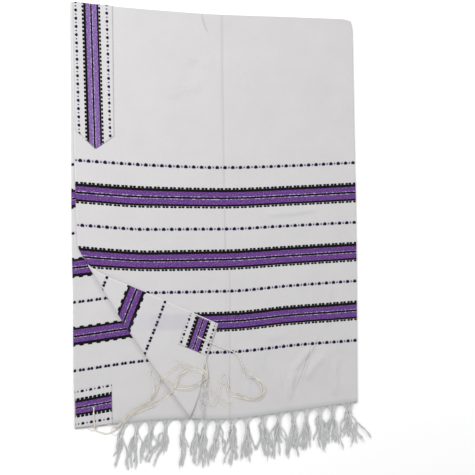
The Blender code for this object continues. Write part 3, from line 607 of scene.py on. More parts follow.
def wool_ground(place, across, along):
    """The undyed weave: its colour, and its relief from slubs in both yarns."""
    weft = place.stretched(120, 1500).mottle(1.0)
    warp = place.stretched(1300, 110, 5.0).mottle(1.0)
    clouds = place.stretched(14, 14, 2.0).mottle(1.0, 3.0)
    shade = (weft + warp) * 0.35 + clouds * 0.30
    relief = across.wave(WARP_PITCH) * along.wave(WEFT_PITCH) * 0.25 + weft * 0.5 + warp * 0.5
    return shade.blend(WOOL_SHADED, WOOL), relief


# A band's parts, by how far from its middle they end or start
BAND_CORE_HALF = 0.0024
SPARKLE_THREAD = (0.0021, 0.0038)
PURPLE_HALF = 0.0170
LINE_START = 0.0161
LINE_WIDTH = 0.0050
HEAVIER_LINE_REACHES_IN = 0.0012
HEAVIER_LINE_ADDS = 0.0016
LOOSE_PICKS = (0.0203, 0.0226)
WOVEN_SOFT = 0.0003
PLAIN_PALENESS = 0.16


def lay_band(colour, place, from_middle, size, heavier_side, paleness=PLAIN_PALENESS):
    """Lays a woven band over a colour: purple between black lines, with a sparkle thread beside its core,
    whose glints are painted.
    """
    fray = (place.stretched(700, 700, 9.0).mottle(1.0) - 0.5) * 0.0012
    off = abs(from_middle) / size + fray
    heavier = (from_middle * heavier_side).below(0.0, 0.002)
    streaks = place.stretched(40, 600, 3.0).mottle(1.0, 3.0)
    stops = [(0.30, PURPLE_DEEP), (0.50, PURPLE), (0.68, PURPLE_REDDER)]
    purple = streaks.node("ShaderNodeValToRGB", {"stops": stops}, {0: streaks})
    ribs = from_middle.wave(WARP_PITCH) * 0.5 + 0.5
    # Paleness beyond the plain bands' own is painted glare: it washes the purple towards pale and strews more
    # painted glints over it.
    paler = paleness - PLAIN_PALENESS
    purple = purple.tint(PURPLE_PALE, ribs * PLAIN_PALENESS + paler)
    # Painted glints: pale flecks over the purple.
    flecks = place.stretched(330, 330, 31.0).mottle(1.0, 1.0)
    purple = purple.tint(SPARKLE, (1 - flecks.below(0.60, 0.05)) * (0.15 + 0.6 * paler))
    purple = purple.tint(BLACK_YARN, flecks.below(0.40, 0.05) * 0.30)
    # Painted glints: bright spots along the sparkle thread, which is faintly pale between them.
    glint = place.stretched(190, 330, 7.0).mottle(1.0, 0.0)
    thread = off.between(*SPARKLE_THREAD, WOVEN_SOFT)
    colour = colour.tint(GAP_GREEN, off.between(*LOOSE_PICKS, 2 * WOVEN_SOFT) * 0.5)
    colour = colour.tint(purple, off.below(PURPLE_HALF, 0.0004))
    colour = colour.tint(SPARKLE, thread * (0.16 + 0.84 * (1 - glint.below(0.57, 0.05))))
    colour = colour.tint(BLACK_YARN, off.below(BAND_CORE_HALF, WOVEN_SOFT))
    past_start = off - (LINE_START - heavier * HEAVIER_LINE_REACHES_IN)
    line_width = LINE_WIDTH + heavier * HEAVIER_LINE_ADDS
    return colour.tint(BLACK_YARN, past_start.between(0.0, line_width, WOVEN_SOFT))


def lay_ticks(colour, place, across, from_middle, size, tick):
    """Lays the short black floats along a band's edges. Their places are off a repeat's middle."""
    run = abs(abs(across.repeat(tick.pitch)) - tick.off_repeat)
    rise = abs(abs(from_middle) / size - tick.off_band) / tick.half_height
    reach = run / tick.half_length
    ragged = (place.stretched(520, 520, 11.0).mottle(1.0, 1.0) - 0.5) * 0.7
    shape = reach * reach * reach * reach + rise * rise + ragged
    return colour.tint(BLACK_YARN, shape.below(1.0, 0.15))


Ticks = namedtuple("Ticks", "pitch off_repeat half_length off_band half_height")
RIGHT_SIDE_TICKS = Ticks(0.0197, 0.0042, 0.0038, 0.0236, 0.0023)
WRONG_SIDE_TICKS = Ticks(0.0200, 0.0, 0.0054, 0.0224, 0.0022)


# A row of dots: their repeat, how far off its middle they are, their half sizes and their colour
Dots = namedtuple("Dots", "pitch off_repeat half_across half_along shade")
RIGHT_SIDE_DOTS = (
    Dots(0.0197, 0.0, 0.0058, 0.0043, DOT_NAVY),
    Dots(0.0197, 0.00985, 0.0026, 0.0028, DOT_LILAC),
)
WRONG_SIDE_DOTS = Dots(0.0200, 0.0037, 0.0042, 0.0038, DOT_NAVY)
DOTS_FROM_TICKS = 0.0060


def lay_dots(colour, place, across, from_middle, dots):
    """Lays a row of woven dots, each a little narrower towards its top."""
    run = abs(abs(across.repeat(dots.pitch)) - dots.off_repeat) / dots.half_across
    rise = from_middle / dots.half_along
    ragged = (place.stretched(480, 480, 13.0).mottle(1.0, 1.0) - 0.5) * 0.8
    peaked = run * (1.20 - 0.35 * rise)
    shape = peaked * peaked + rise * rise + ragged
    return colour.tint(dots.shade, shape.below(1.0, 0.18))


def new_wool_look(name):
    """A wool material, its places on the cloth, and the colour and relief of its undyed weave."""
    look, place, across, along = new_look(
        name, "weave", Roughness=0.86, Sheen_Weight=0.10, Sheen_Roughness=0.45, Specular_IOR_Level=0.12
    )
    return look, place, across, along, *wool_ground(place, across, along)


def kept_between(distance, along, first, last):
    """A repeat's distance, carried out of reach of its pattern before and past two places."""
    beyond = 0.2
    distance = distance - along.below(first, 0.001) * beyond
    return distance + (1 - along.below(last, 0.001)) * beyond


# A cloth's hem: where it lies along the cloth, and the place across the cloth past which its painted shade
# starts
ClothHem = namedtuple("ClothHem", "along frays_past")
CLEAR_OF_ROW = 0.02
HEM_SHADE_REACH = 0.0085
SELVEDGE_HIGHLIGHT_WIDTH = 0.0028
ROW_HALO_HALF = 0.0042
STORAGE_CREASE_ACROSS = 0.3691
STORAGE_CREASE_SLANT = 0.0088
PAINTED_CREASE_SHADE_HALF = 0.0022
SHOWS_THROUGH_X = (-0.170, -0.086)
SHOWS_THROUGH_Y = (-0.3040, -0.2640)


def stripes_look(name, first_row, row_pitch, hem, right_side, crease_shade_and_wrinkles=False, shows_through=False):
    """The striped weave, seen on its right or wrong side. Its rows repeat along the cloth."""
    look, place, across, along, colour, relief = new_wool_look(name)
    waver = (place.stretched(9, 9, 4.0).mottle(1.0) - 0.5) * 0.0016
    from_row = (along + waver - first_row).repeat(row_pitch)
    from_band = (along + waver - (first_row + row_pitch / 2)).repeat(row_pitch)
    last_row = first_row + row_pitch * (DOTTED_ROWS - 1)
    from_band = kept_between(from_band, along, first_row + CLEAR_OF_ROW, last_row - CLEAR_OF_ROW)
    from_row = kept_between(from_row, along, first_row - CLEAR_OF_ROW, last_row + CLEAR_OF_ROW)
    # Painted shade: a blotchy grey band along the hem, where the fringe's roots and the overcast stitches
    # shade the cloth. It starts only past a given place across the cloth, so the hem of the turned-over flap
    # has none.
    hem_shade_side = 1 - across.below(hem.frays_past, 0.02)
    slubs = place.stretched(640, 900, 17.0).mottle(1.0, 2.0)
    hem_shade_mask = (hem.along - along).below(HEM_SHADE_REACH, 0.0065) * (0.3 + 0.7 * slubs.below(0.52, 0.16))
    colour = colour.tint(HEM_PAINTED_SHADE, hem_shade_mask * hem_shade_side * 0.50)
    # Painted highlight: a thin lighter line along the neck edge, where the edge catches the light.
    colour = colour.tint(SELVEDGE_HIGHLIGHT, across.below(SELVEDGE_HIGHLIGHT_WIDTH, 0.0008) * 0.3)
    if crease_shade_and_wrinkles:
        # Painted shade: a narrow darker line down the storage crease, where its shade falls.
        from_crease = abs(across - STORAGE_CREASE_ACROSS + along * STORAGE_CREASE_SLANT)
        colour = colour.tint(PAINTED_CREASE_SHADE, from_crease.below(PAINTED_CREASE_SHADE_HALF, 0.0018) * 0.13)
    colour = colour.tint(DOT_LILAC, from_row.between(-ROW_HALO_HALF, ROW_HALO_HALF, 0.0025) * 0.14)
    colour = lay_band(colour, place, from_band, 1.0, 1.0 if right_side else -1.0)
    if right_side:
        colour = lay_ticks(colour, place, across, from_band, 1.0, RIGHT_SIDE_TICKS)
        for dots in RIGHT_SIDE_DOTS:
            colour = lay_dots(colour, place, across + DOTS_FROM_TICKS, from_row, dots)
    else:
        colour = lay_ticks(colour, place, across, from_band, 1.0, WRONG_SIDE_TICKS)
        colour = lay_dots(colour, place, across, from_row, WRONG_SIDE_DOTS)
    if shows_through:
        under = place.node("ShaderNodeTexCoord", {}, {}, 3)
        under_x = place.node("ShaderNodeSeparateXYZ", {}, {0: under}, 0)
        under_y = place.node("ShaderNodeSeparateXYZ", {}, {0: under}, 1)
        near = under_x.between(*SHOWS_THROUGH_X, 0.008)
        colour = colour.tint(SHOW_THROUGH, under_y.between(*SHOWS_THROUGH_Y, 0.006) * (0.05 + near * 0.08))
    rumples = place.stretched(30, 26, 21.0).mottle(1.0, 2.0) * 3.0
    if crease_shade_and_wrinkles:
        rumples = rumples - fine_wrinkles(across, along) * 2.4
    finish_look(look, colour, relief + rumples, WEAVE_RELIEF)
    return look


FRONT_FIRST_ROW = 0.3845
FRONT_ROW_PITCH = 0.1542
FRONT_HEM = ClothHem(HEM_ALONG, 0.24)
right_side = stripes_look("wool_right_side", FRONT_FIRST_ROW, FRONT_ROW_PITCH, FRONT_HEM, True, crease_shade_and_wrinkles=True)
wrong_side = stripes_look(
    "wool_wrong_side", FRONT_FIRST_ROW, FRONT_ROW_PITCH, FRONT_HEM, False, shows_through=True
)


SIDE_FLAT = FOLDED_WIDTH - SIDE_ROLL_RADIUS - CLOTH_THICKNESS / 2
TOP_FLAT = TOP_ROLL_RADIUS + CLOTH_THICKNESS / 2


def front_surface(across, along):
    """A laid point of the top layer's middle. Past its flat part it runs round the folded edges."""
    side_arc, top_arc = max(across - SIDE_FLAT, 0), max(TOP_FLAT - along, 0)
    return front_laid_point(front_flat_point(across - side_arc, along + top_arc, side_arc, top_arc))


def front_grid(spacing):
    """The top layer's points, still flat in plan, closer together where its edges roll."""
    roll_steps = 8
    past_side = spread(0.0, SIDE_ROLL_RADIUS * ROLL_TURN, roll_steps)
    past_top = spread(TOP_ROLL_RADIUS * ROLL_TURN, 0.0, roll_steps)
    columns = [(across, 0.0) for across in spread(0.0, SIDE_FLAT, round(SIDE_FLAT / spacing))]
    columns += [(SIDE_FLAT, arc) for arc in past_side[1:]]
    rows = [(TOP_FLAT, arc) for arc in past_top[:-1]]
    rows += [(along, 0.0) for along in spread(TOP_FLAT, HEM_ALONG, round(HEM_ALONG / spacing))]
    return [
        [
            (front_flat_point(across, along, side_arc, top_arc), across + side_arc, along - top_arc)
            for across, side_arc in columns
        ]
        for along, top_arc in rows
    ]


def build_front():
    sheet = cloth_grid(front_grid(FRONT_MESH_SPACING))
    for beyond in spread(0.0, FOLD.arc, CORNER_ROLL_CUTS):
        cut_along(sheet, FOLD.origin + FOLD.outward * beyond, FOLD.outward)
    storage_run = Vector(STORAGE_CREASE[-1]) - Vector(STORAGE_CREASE[0])
    beside = Vector((-storage_run.y, storage_run.x)).normalized()
    for off in (-STORAGE_CREASE_SIDE, 0.0, STORAGE_CREASE_SIDE):
        cut_along(sheet, Vector(STORAGE_CREASE[1]) + beside * off, beside)
    for vert in sheet.verts:
        vert.co = front_laid_point(vert.co)
    return cloth_piece("cloth_front", sheet, [right_side, wrong_side], CLOTH_THICKNESS)


cloth_front = build_front()
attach(cloth_front, "root")
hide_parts("front_half")

# Second layer of the cloth
# The other half of the same wool rectangle, wrong side up. It runs into the middle fold, and its
# striped corner shows where the top layer is turned over.
BACK_ROWS = (
    Row(0.0000, -0.3617, 0.3480, 0.4960, 0.4885, 0.4845, 0.4870, 0.4890),
    Row(0.3955, -0.3600, 0.3530, 0.1020, 0.1165, 0.1180, 0.1120, 0.1080),
    Row(0.5622, -0.3596, 0.3555, -0.0649, -0.0480, -0.0440, -0.0460, -0.0480),
    Row(0.7289, -0.3565, 0.3555, -0.2316, -0.2130, -0.2080, -0.2080, -0.2080),
    Row(0.8956, -0.3560, 0.3550, -0.3964, -0.3770, -0.3690, -0.3670, -0.3660),
    Row(1.0350, -0.3536, 0.3545, -0.5360, -0.5255, -0.5240, -0.5150, -0.5040),
)
BACK_HEM_ALONG = 1.035
FOLD_DIP = 0.0015
FOLD_DIP_REACH = 0.015
BACK_STEPS_ACROSS = 130
BACK_STEPS_ALONG = 190
BACK_CREASES = (
    Crease(-0.2600, -0.4300, -0.2100, -0.4700, 0.0080, -0.00050),
    Crease(-0.2300, -0.3500, -0.1800, -0.3900, 0.0070, 0.00040),
    Crease(-0.3500, -0.3300, -0.3000, -0.3500, 0.0060, -0.00030),
    Crease(-0.1900, -0.4900, -0.1500, -0.5200, 0.0070, 0.00050),
)


def back_height(x, y):
    """Height of the middle of the second layer: it dips into the middle fold."""
    top = max(BACK_ROWS[0].y_middle - y, 0) / FOLD_DIP_REACH
    soft = 0.2 * swell_height(x, y) + crease_height(BACK_CREASES, x, y)
    return BACK_MIDDLE - FOLD_DIP * math.exp(-top * top) + soft


def back_surface(across, along):
    """A laid point of the second layer's middle."""
    x, y = soften_corner(*plan_place(BACK_ROWS, across, along))
    return Vector((x, y, back_height(x, y)))


def build_back():
    places_across = spread(0.0, FOLDED_WIDTH, BACK_STEPS_ACROSS)
    rows = [
        [(back_surface(across, along), across, along) for across in places_across]
        for along in spread(TOP_FLAT, BACK_HEM_ALONG, BACK_STEPS_ALONG)
    ]
    return cloth_piece("cloth_back", cloth_grid(rows), [back_wrong_side, back_right_side], CLOTH_THICKNESS)


BACK_FIRST_ROW = 0.3955
BACK_ROW_PITCH = 0.1667
BACK_HEM = ClothHem(BACK_HEM_ALONG, -0.05)
back_wrong_side = stripes_look("wool_back_wrong_side", BACK_FIRST_ROW, BACK_ROW_PITCH, BACK_HEM, False)
back_right_side = stripes_look("wool_back_right_side", BACK_FIRST_ROW, BACK_ROW_PITCH, BACK_HEM, True)
cloth_back = build_back()
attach(cloth_back, "root")
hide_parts("back_half")

# Hidden layers
# The two inner layers of the folded wool cloth, one on the other and edge on edge. The layers over
# them hide all but their edges.
HIDDEN_HEM = (
    (-0.3480, -0.5150), (-0.2600, -0.5100), (-0.1400, -0.5120), (0.0000, -0.5100),
    (0.1600, -0.5060), (0.2700, -0.4990), (0.3440, -0.4920),
)
HIDDEN_SIDE = (
    (0.3480, -0.4400), (0.3480, -0.3000), (0.3480, -0.1500), (0.3480, 0.0000), (0.3470, 0.1200),
    (0.3450, 0.2500), (0.3430, 0.3600),
)
HIDDEN_TOP_EDGE = (
    (0.3370, 0.4700), (0.2600, 0.4770), (0.1400, 0.4770), (0.0000, 0.4750), (-0.1400, 0.4770),
    (-0.2600, 0.4810), (-0.3460, 0.4840),
)
HIDDEN_NECK = (
    (-0.3490, 0.4000), (-0.3490, 0.2800), (-0.3490, 0.1500), (-0.3480, 0.0000), (-0.3470, -0.1500),
    (-0.3460, -0.3000), (-0.3460, -0.4300),
)
HIDDEN_OUTLINE_SPACING = 0.012
HIDDEN_EDGE_ROUND = 0.0006
HIDDEN_EDGE_BAND = 0.0300
HIDDEN_FRAY = 0.0004
HIDDEN_FOLD_PLACE = 0.49
HIDDEN_FOLD_FROM = 0.455
HIDDEN_FOLD_DROP = 0.0012


def build_hidden(name, low, high, drawn_in):
    """One hidden layer as a thin closed sheet with a rounded edge all round. It needs no wall."""
    outline = [Vector(spot) for spot in HIDDEN_HEM + HIDDEN_SIDE + HIDDEN_TOP_EDGE + HIDDEN_NECK]
    dense = []
    for start, end in zip(outline, outline[1:] + outline[:1]):
        steps = max(round((end - start).length / HIDDEN_OUTLINE_SPACING), 1)
        dense += [start.lerp(end, k / steps) for k in range(steps)]
    middle = (low + high) / 2
    sheet = bmesh.new()
    across_layer = sheet.verts.layers.float.new("across")
    along_layer = sheet.verts.layers.float.new("along")
    rings = []
    inset_heights = (
        (HIDDEN_EDGE_BAND, high), (HIDDEN_EDGE_ROUND, high), (0.0, middle),
        (HIDDEN_EDGE_ROUND, low), (HIDDEN_EDGE_BAND, low),
    )
    for i, spot in enumerate(dense):
        run = (dense[(i + 1) % len(dense)] - dense[i - 1]).normalized()
        inward = Vector((-run.y, run.x))
        fray = drawn_in + HIDDEN_FRAY * math.sin(1.7 * i)
        column = []
        for inset, height in inset_heights:
            place = spot + inward * (inset + fray)
            drop = HIDDEN_FOLD_DROP * ease((place.y - HIDDEN_FOLD_FROM) / 0.02) if height > middle else 0.0
            vert = sheet.verts.new((place.x, place.y, height - drop))
            vert[across_layer] = place.x + FOLDED_WIDTH / 2
            vert[along_layer] = HIDDEN_FOLD_PLACE - place.y
            column.append(vert)
        rings.append(column)
    for column, following in zip(rings, rings[1:] + rings[:1]):
        for a, b, c, d in zip(column, following, following[1:], column[1:]):
            sheet.faces.new((a, d, c, b))
    sheet.faces.new([column[0] for column in rings])
    sheet.faces.new([column[-1] for column in reversed(rings)])
    piece = cloth_piece(name, sheet, [hidden_wool], CLOTH_THICKNESS)
    piece.modifiers.clear()
    return piece


def plain_wool_look(name):
    look, _, _, _, colour, relief = new_wool_look(name)
    finish_look(look, colour, relief, WEAVE_RELIEF)
    return look


hidden_wool = plain_wool_look("wool_plain")
under_upper = build_hidden("cloth_under_upper", low=0.00205, high=0.0038, drawn_in=0.0)
under_lower = build_hidden("cloth_under_lower", low=0.0, high=0.00195, drawn_in=0.0012)
for layer in (under_upper, under_lower):
    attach(layer, "root")
    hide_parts("hidden_layers")

# Neckband
# A strip of the striped cloth, woven closer, with its edges turned under and its end folded to a
# point. It is machine-sewn along the neck edge and runs over the middle fold.
BAND_THICKNESS = 0.0010
BAND_INSET_TOP = 0.0055
BAND_INSET_END = 0.0020
BAND_WIDTH = 0.0945
BAND_NECK_SHOULDER = 0.310
BAND_TIP = 0.355
BAND_TIP_SHARE = 0.52
BAND_FOLD_SHOULDER = 0.320
BAND_STRIPE_PLACE = 0.0425
BAND_STRIPE_DRIFT = 0.0155
BAND_ROLLS_OVER = 0.9
BAND_STEPS_ALONG = 96
BAND_STEPS_ACROSS = 26
NARROW_STRIPE = 0.843
NECKBAND_TICKS = Ticks(0.0099, 0.0, 0.0034, 0.0238, 0.0026)
NARROW_DOTS = (
    Dots(0.0200, 0.0, 0.0046, 0.0036, DOT_NAVY),
    Dots(0.0200, 0.0100, 0.0022, 0.0024, DOT_LILAC),
)


def off_surface(surface, across, along, distance):
    """A point over a laid surface's right side, or under it where the distance is negative."""
    step = 0.0004
    over = surface(across + step, along) - surface(across - step, along)
    up = surface(across, along - step) - surface(across, along + step)
    return surface(across, along) + over.cross(up).normalized() * distance


def narrow_stripes_look(name, rows_from_band, paleness, ticks):
    """The closer striped weave of the sewn-on pieces, with the band's middle at zero along."""
    look, place, across, along, colour, relief = new_wool_look(name)
    colour = lay_band(colour, place, along, NARROW_STRIPE, 1.0, paleness)
    colour = lay_ticks(colour, place, across, along, NARROW_STRIPE, ticks)
    for offset in rows_from_band:
        for dots in NARROW_DOTS:
            colour = lay_dots(colour, place, across, along - offset, dots)
    finish_look(look, colour, relief, WEAVE_RELIEF)
    return look


# The neckband's purple is painted paler, as the glare of light on it, with more painted glints.
neckband_look = narrow_stripes_look(
    "neckband_stripes", rows_from_band=(-0.0365, 0.0372), paleness=0.52, ticks=NECKBAND_TICKS
)


def band_inset(along):
    """How far the band's neck side lies from the neck edge of the cloth."""
    return BAND_INSET_TOP + (BAND_INSET_END - BAND_INSET_TOP) * along / BAND_NECK_SHOULDER


def build_neckband():
    lift = CLOTH_THICKNESS / 2 + SEWN_GAP + BAND_THICKNESS / 2
    start = -TOP_ROLL_RADIUS * ROLL_TURN * BAND_ROLLS_OVER
    rows = []
    for step in spread(0.0, 1.0, BAND_STEPS_ALONG):
        line = []
        for share in spread(0.0, 1.0, BAND_STEPS_ACROSS):
            if share < BAND_TIP_SHARE:
                end = BAND_NECK_SHOULDER + (BAND_TIP - BAND_NECK_SHOULDER) * share / BAND_TIP_SHARE
            else:
                rest = (share - BAND_TIP_SHARE) / (1 - BAND_TIP_SHARE)
                end = BAND_TIP + (BAND_FOLD_SHOULDER - BAND_TIP) * rest
            along = start + (end - start) * step
            from_edge = share * BAND_WIDTH
            stripe = BAND_STRIPE_PLACE + BAND_STRIPE_DRIFT * max(along, 0)
            place = off_surface(front_surface, band_inset(along) + from_edge, along, lift)
            line.append((place, along, from_edge - stripe))
        rows.append(line)
    return cloth_piece("cloth_neckband", cloth_grid(rows), [neckband_look], BAND_THICKNESS)


neckband = build_neckband()
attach(neckband, "root")
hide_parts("neckband")

# Corner patches
# A square of the closer striped cloth on each corner, its edges turned under and machine-sewn to the
# wrong side of the shawl, with a worked eyelet in its middle that the tassel passes through.
PATCH_THICKNESS = 0.0008
PATCH_INSET = 0.0026
PATCH_STEPS = 34
FRONT_PATCH_SIZE = (0.088, 0.086)
BACK_PATCH_SIZE = (0.090, 0.094)
PATCH_TICKS = Ticks(0.0099, 0.0, 0.0041, 0.0240, 0.0037)
front_patch_look = narrow_stripes_look(
    "front_patch_stripes", rows_from_band=(-0.0372, 0.0360), paleness=0.22, ticks=PATCH_TICKS
)
back_patch_look = narrow_stripes_look(
    "back_patch_stripes", rows_from_band=(-0.0385, 0.0385), paleness=0.18, ticks=PATCH_TICKS
)


def build_patch(name, surface, hem_along, size, stripe_from_hem, drift, lift, look):
    rows = []
    for along in spread(hem_along - size[1], hem_along - PATCH_INSET, PATCH_STEPS):
        line = []
        for across in spread(PATCH_INSET, size[0], PATCH_STEPS):
            stripe = hem_along - stripe_from_hem - drift * across
            place = off_surface(surface, across, along, lift)
            line.append((place, across, along - stripe))
        rows.append(line)
    return cloth_piece(name, cloth_grid(rows), [look], PATCH_THICKNESS)


patch_lift = CLOTH_THICKNESS / 2 + SEWN_GAP + PATCH_THICKNESS / 2
patch_front = build_patch(
    "patch_front", front_surface, HEM_ALONG, FRONT_PATCH_SIZE,
    stripe_from_hem=0.0440, drift=0.0, lift=-patch_lift, look=front_patch_look,
)
patch_back = build_patch(
    "patch_back", back_surface, BACK_HEM_ALONG, BACK_PATCH_SIZE,
    stripe_from_hem=0.0495, drift=0.05, lift=patch_lift, look=back_patch_look,
)
for patch, node in ((patch_front, "corner_patch_front"), (patch_back, "corner_patch_back")):
    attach(patch, "root")
    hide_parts(node)

# Fringe
# Warp yarns left long at each hem. They are gathered by hand into bunches, each tied off with one of
# its own yarns, and below the knot they hang in a few twisted locks.
BUNCH_PITCH = 0.0384
BUNCH_ROOT = 0.031
STARTS_OUT = 0.004
FIXED_IN = 0.0030
KNOT_BELOW_HEM = 0.0225
FRINGE_YARN_RADIUS = 0.00075
CORNER_FRINGE_STARTS = 0.032
CORNER_FRINGE_LIFT = 0.0014
FRONT_LAST_LEAN = 0.30
BACK_FRINGE_ACROSS = (0.092, FOLDED_WIDTH - 0.004)
CLEAR_OF_HEM_ENDS = 0.003

# A row of fringe: its bunches' length, how much shorter each is than the one before, their lean, how
# far length and lean vary, and the heights that knots and tips lie at where they lie on the table
FringeRow = namedtuple("FringeRow", "length length_varies shortens lean lean_varies knots_lie tips_lie")
FRONT_FRINGE = FringeRow(0.1180, 0.004, 0.0004, -0.02, 0.16, 0.0061, 0.0034)
CORNER_FRINGE = FringeRow(0.086, 0.006, 0.0, -3.2, 0.0, None, None)
BACK_FRINGE = FringeRow(0.121, 0.005, 0.0, -0.22, 0.10, 0.0037, 0.0026)
BACK_FRINGE_UNDER_FRONT = BACK_FRINGE._replace(lean=-0.04, lean_varies=0.08)
HIDDEN_FRINGE = FringeRow(0.106, 0.004, 0.0, -0.05, 0.0, 0.0022, 0.0018)

# The least and the most of what varies in a hand-knotted bunch: shares, and sizes in metres
KNOT_DROP_SHARE = (0.70, 1.10)
LOCK_LENGTH_SHARE = (0.74, 1.08)
LOCK_WAVES = (0.8, 1.5)
LOCK_WAVE_SIZE = (0.0015, 0.0050)
LOCK_SPREAD = 0.0070
LOCK_SPREAD_SHARE = (0.55, 1.25)
LOCK_TWISTS = (0.6, 1.8)
LOCK_LEAN = (-0.22, 0.22)
LOCK_WIDTH = (0.0009, 0.0015)
YARN_BEND = (-0.0015, 0.0015)
YARN_LENGTH_SHARE = (0.84, 1.02)
KINK_LENGTH = (0.008, 0.013)
KINK_SIZE = (0.0002, 0.0007)
ANY_TURN = (0, 6.28)
YARN_TIP_FROM = 0.92
YARN_TIP_SHARE = 0.08
KNOT_WRAPS = 2.2
KNOT_HALF_WIDTH = 0.0031
KNOT_HALF_HEIGHT = 0.0016
KNOT_LENGTH = 0.0036

Bunch = namedtuple("Bunch", "distance length lean")


class Hem:
    """A hem's own points, asked for the place and the way out of the cloth at a distance along."""

    def __init__(self, points):
        self.points = [Vector(point) for point in points]
        runs = [(end - start).xy.length for start, end in zip(self.points, self.points[1:])]
        self.marks = [sum(runs[:k]) for k in range(len(runs) + 1)]
        self.length = self.marks[-1]

    def at(self, distance):
        distance = min(max(distance, 0.0), self.length)
        i = next(k for k in range(len(self.points) - 1) if distance <= self.marks[k + 1])
        start, end = self.points[i], self.points[i + 1]
        run = (end - start).xy.normalized()
        share = (distance - self.marks[i]) / (self.marks[i + 1] - self.marks[i])
        return start.lerp(end, share), Vector((run.y, -run.x))

    def bunches(self):
        """Places for its bunches, about evenly spaced."""
        count = round(self.length / BUNCH_PITCH)
        return [self.length * (k + 0.5 + 0.11 * math.sin(5.3 * k + 1.0)) / count for k in range(count)]


class Yarns:
    """A mesh in progress of many yarns, each a tube with its length and turn as a UV map."""

    def __init__(self):
        self.shape = bmesh.new()
        self.laid = self.shape.loops.layers.uv.new("strand")
        self.count = 0

    def draw(self, places, radii, sides=5):
        """Draws one yarn through its places, as thick as its radii say."""
        self.count += 1
        mark = 0.37 * self.count
        side = (places[1] - places[0]).orthogonal().normalized()
        ring, last_mark = None, mark
        for i, place in enumerate(places):
            before, after = places[max(i - 1, 0)], places[min(i + 1, len(places) - 1)]
            run = (after - before).normalized()
            side = (side - run * side.dot(run)).normalized()
            up = run.cross(side)
            if i:
                mark += (place - places[i - 1]).length
            following = []
            for k in range(sides):
                turn = 2 * math.pi * k / sides
                out = side * math.cos(turn) + up * math.sin(turn)
                following.append(self.shape.verts.new(place + out * radii[i]))
            if ring:
                self.skin(ring, following, last_mark, mark)
            else:
                self.shape.faces.new(reversed(following))
            ring, last_mark = following, mark
        self.shape.faces.new(ring)

    def skin(self, ring, following, start, end):
        sides = len(ring)
        for k in range(sides):
            n = (k + 1) % sides
            face = self.shape.faces.new((ring[k], ring[n], following[n], following[k]))
            face.smooth = True
            corners = ((start, k), (start, k + 1), (end, k + 1), (end, k))
            for loop, (mark, turn) in zip(face.loops, corners):
                loop[self.laid].uv = (mark, turn / sides)

    def piece(self, name, look):
        mesh = bpy.data.meshes.new(name)
        self.shape.to_mesh(mesh)
        self.shape.free()
        mesh.materials.append(look)
        piece = bpy.data.objects.new(name, mesh)
        piece.location = (*CLOTH_MIDDLE, 0.0)
        bpy.context.scene.collection.objects.link(piece)
        return piece


def straight_under(hem, crossings):
    """Places along a lower hem that lie under the crossings, which are plan x values."""
    choices = spread(0, hem.length, 900)
    return [min(choices, key=lambda place: abs(hem.at(place)[0].x - x)) for x in crossings]


def uneven(index, middle, swing):
    """A value that varies about a middle from bunch to bunch, as hand knotting does."""
    return middle + swing * math.sin(2.4 * index + 0.7) * math.cos(0.9 * index)


def hem_leaves_fold(beyond):
    """How far across the hem comes to a distance past the start of the corner's roll."""
    acrosses = spread(FOLDED_WIDTH, 0, 2000)
    return next(across for across in acrosses if FOLD.past(*front_plan(across, HEM_ALONG))[0] > beyond)


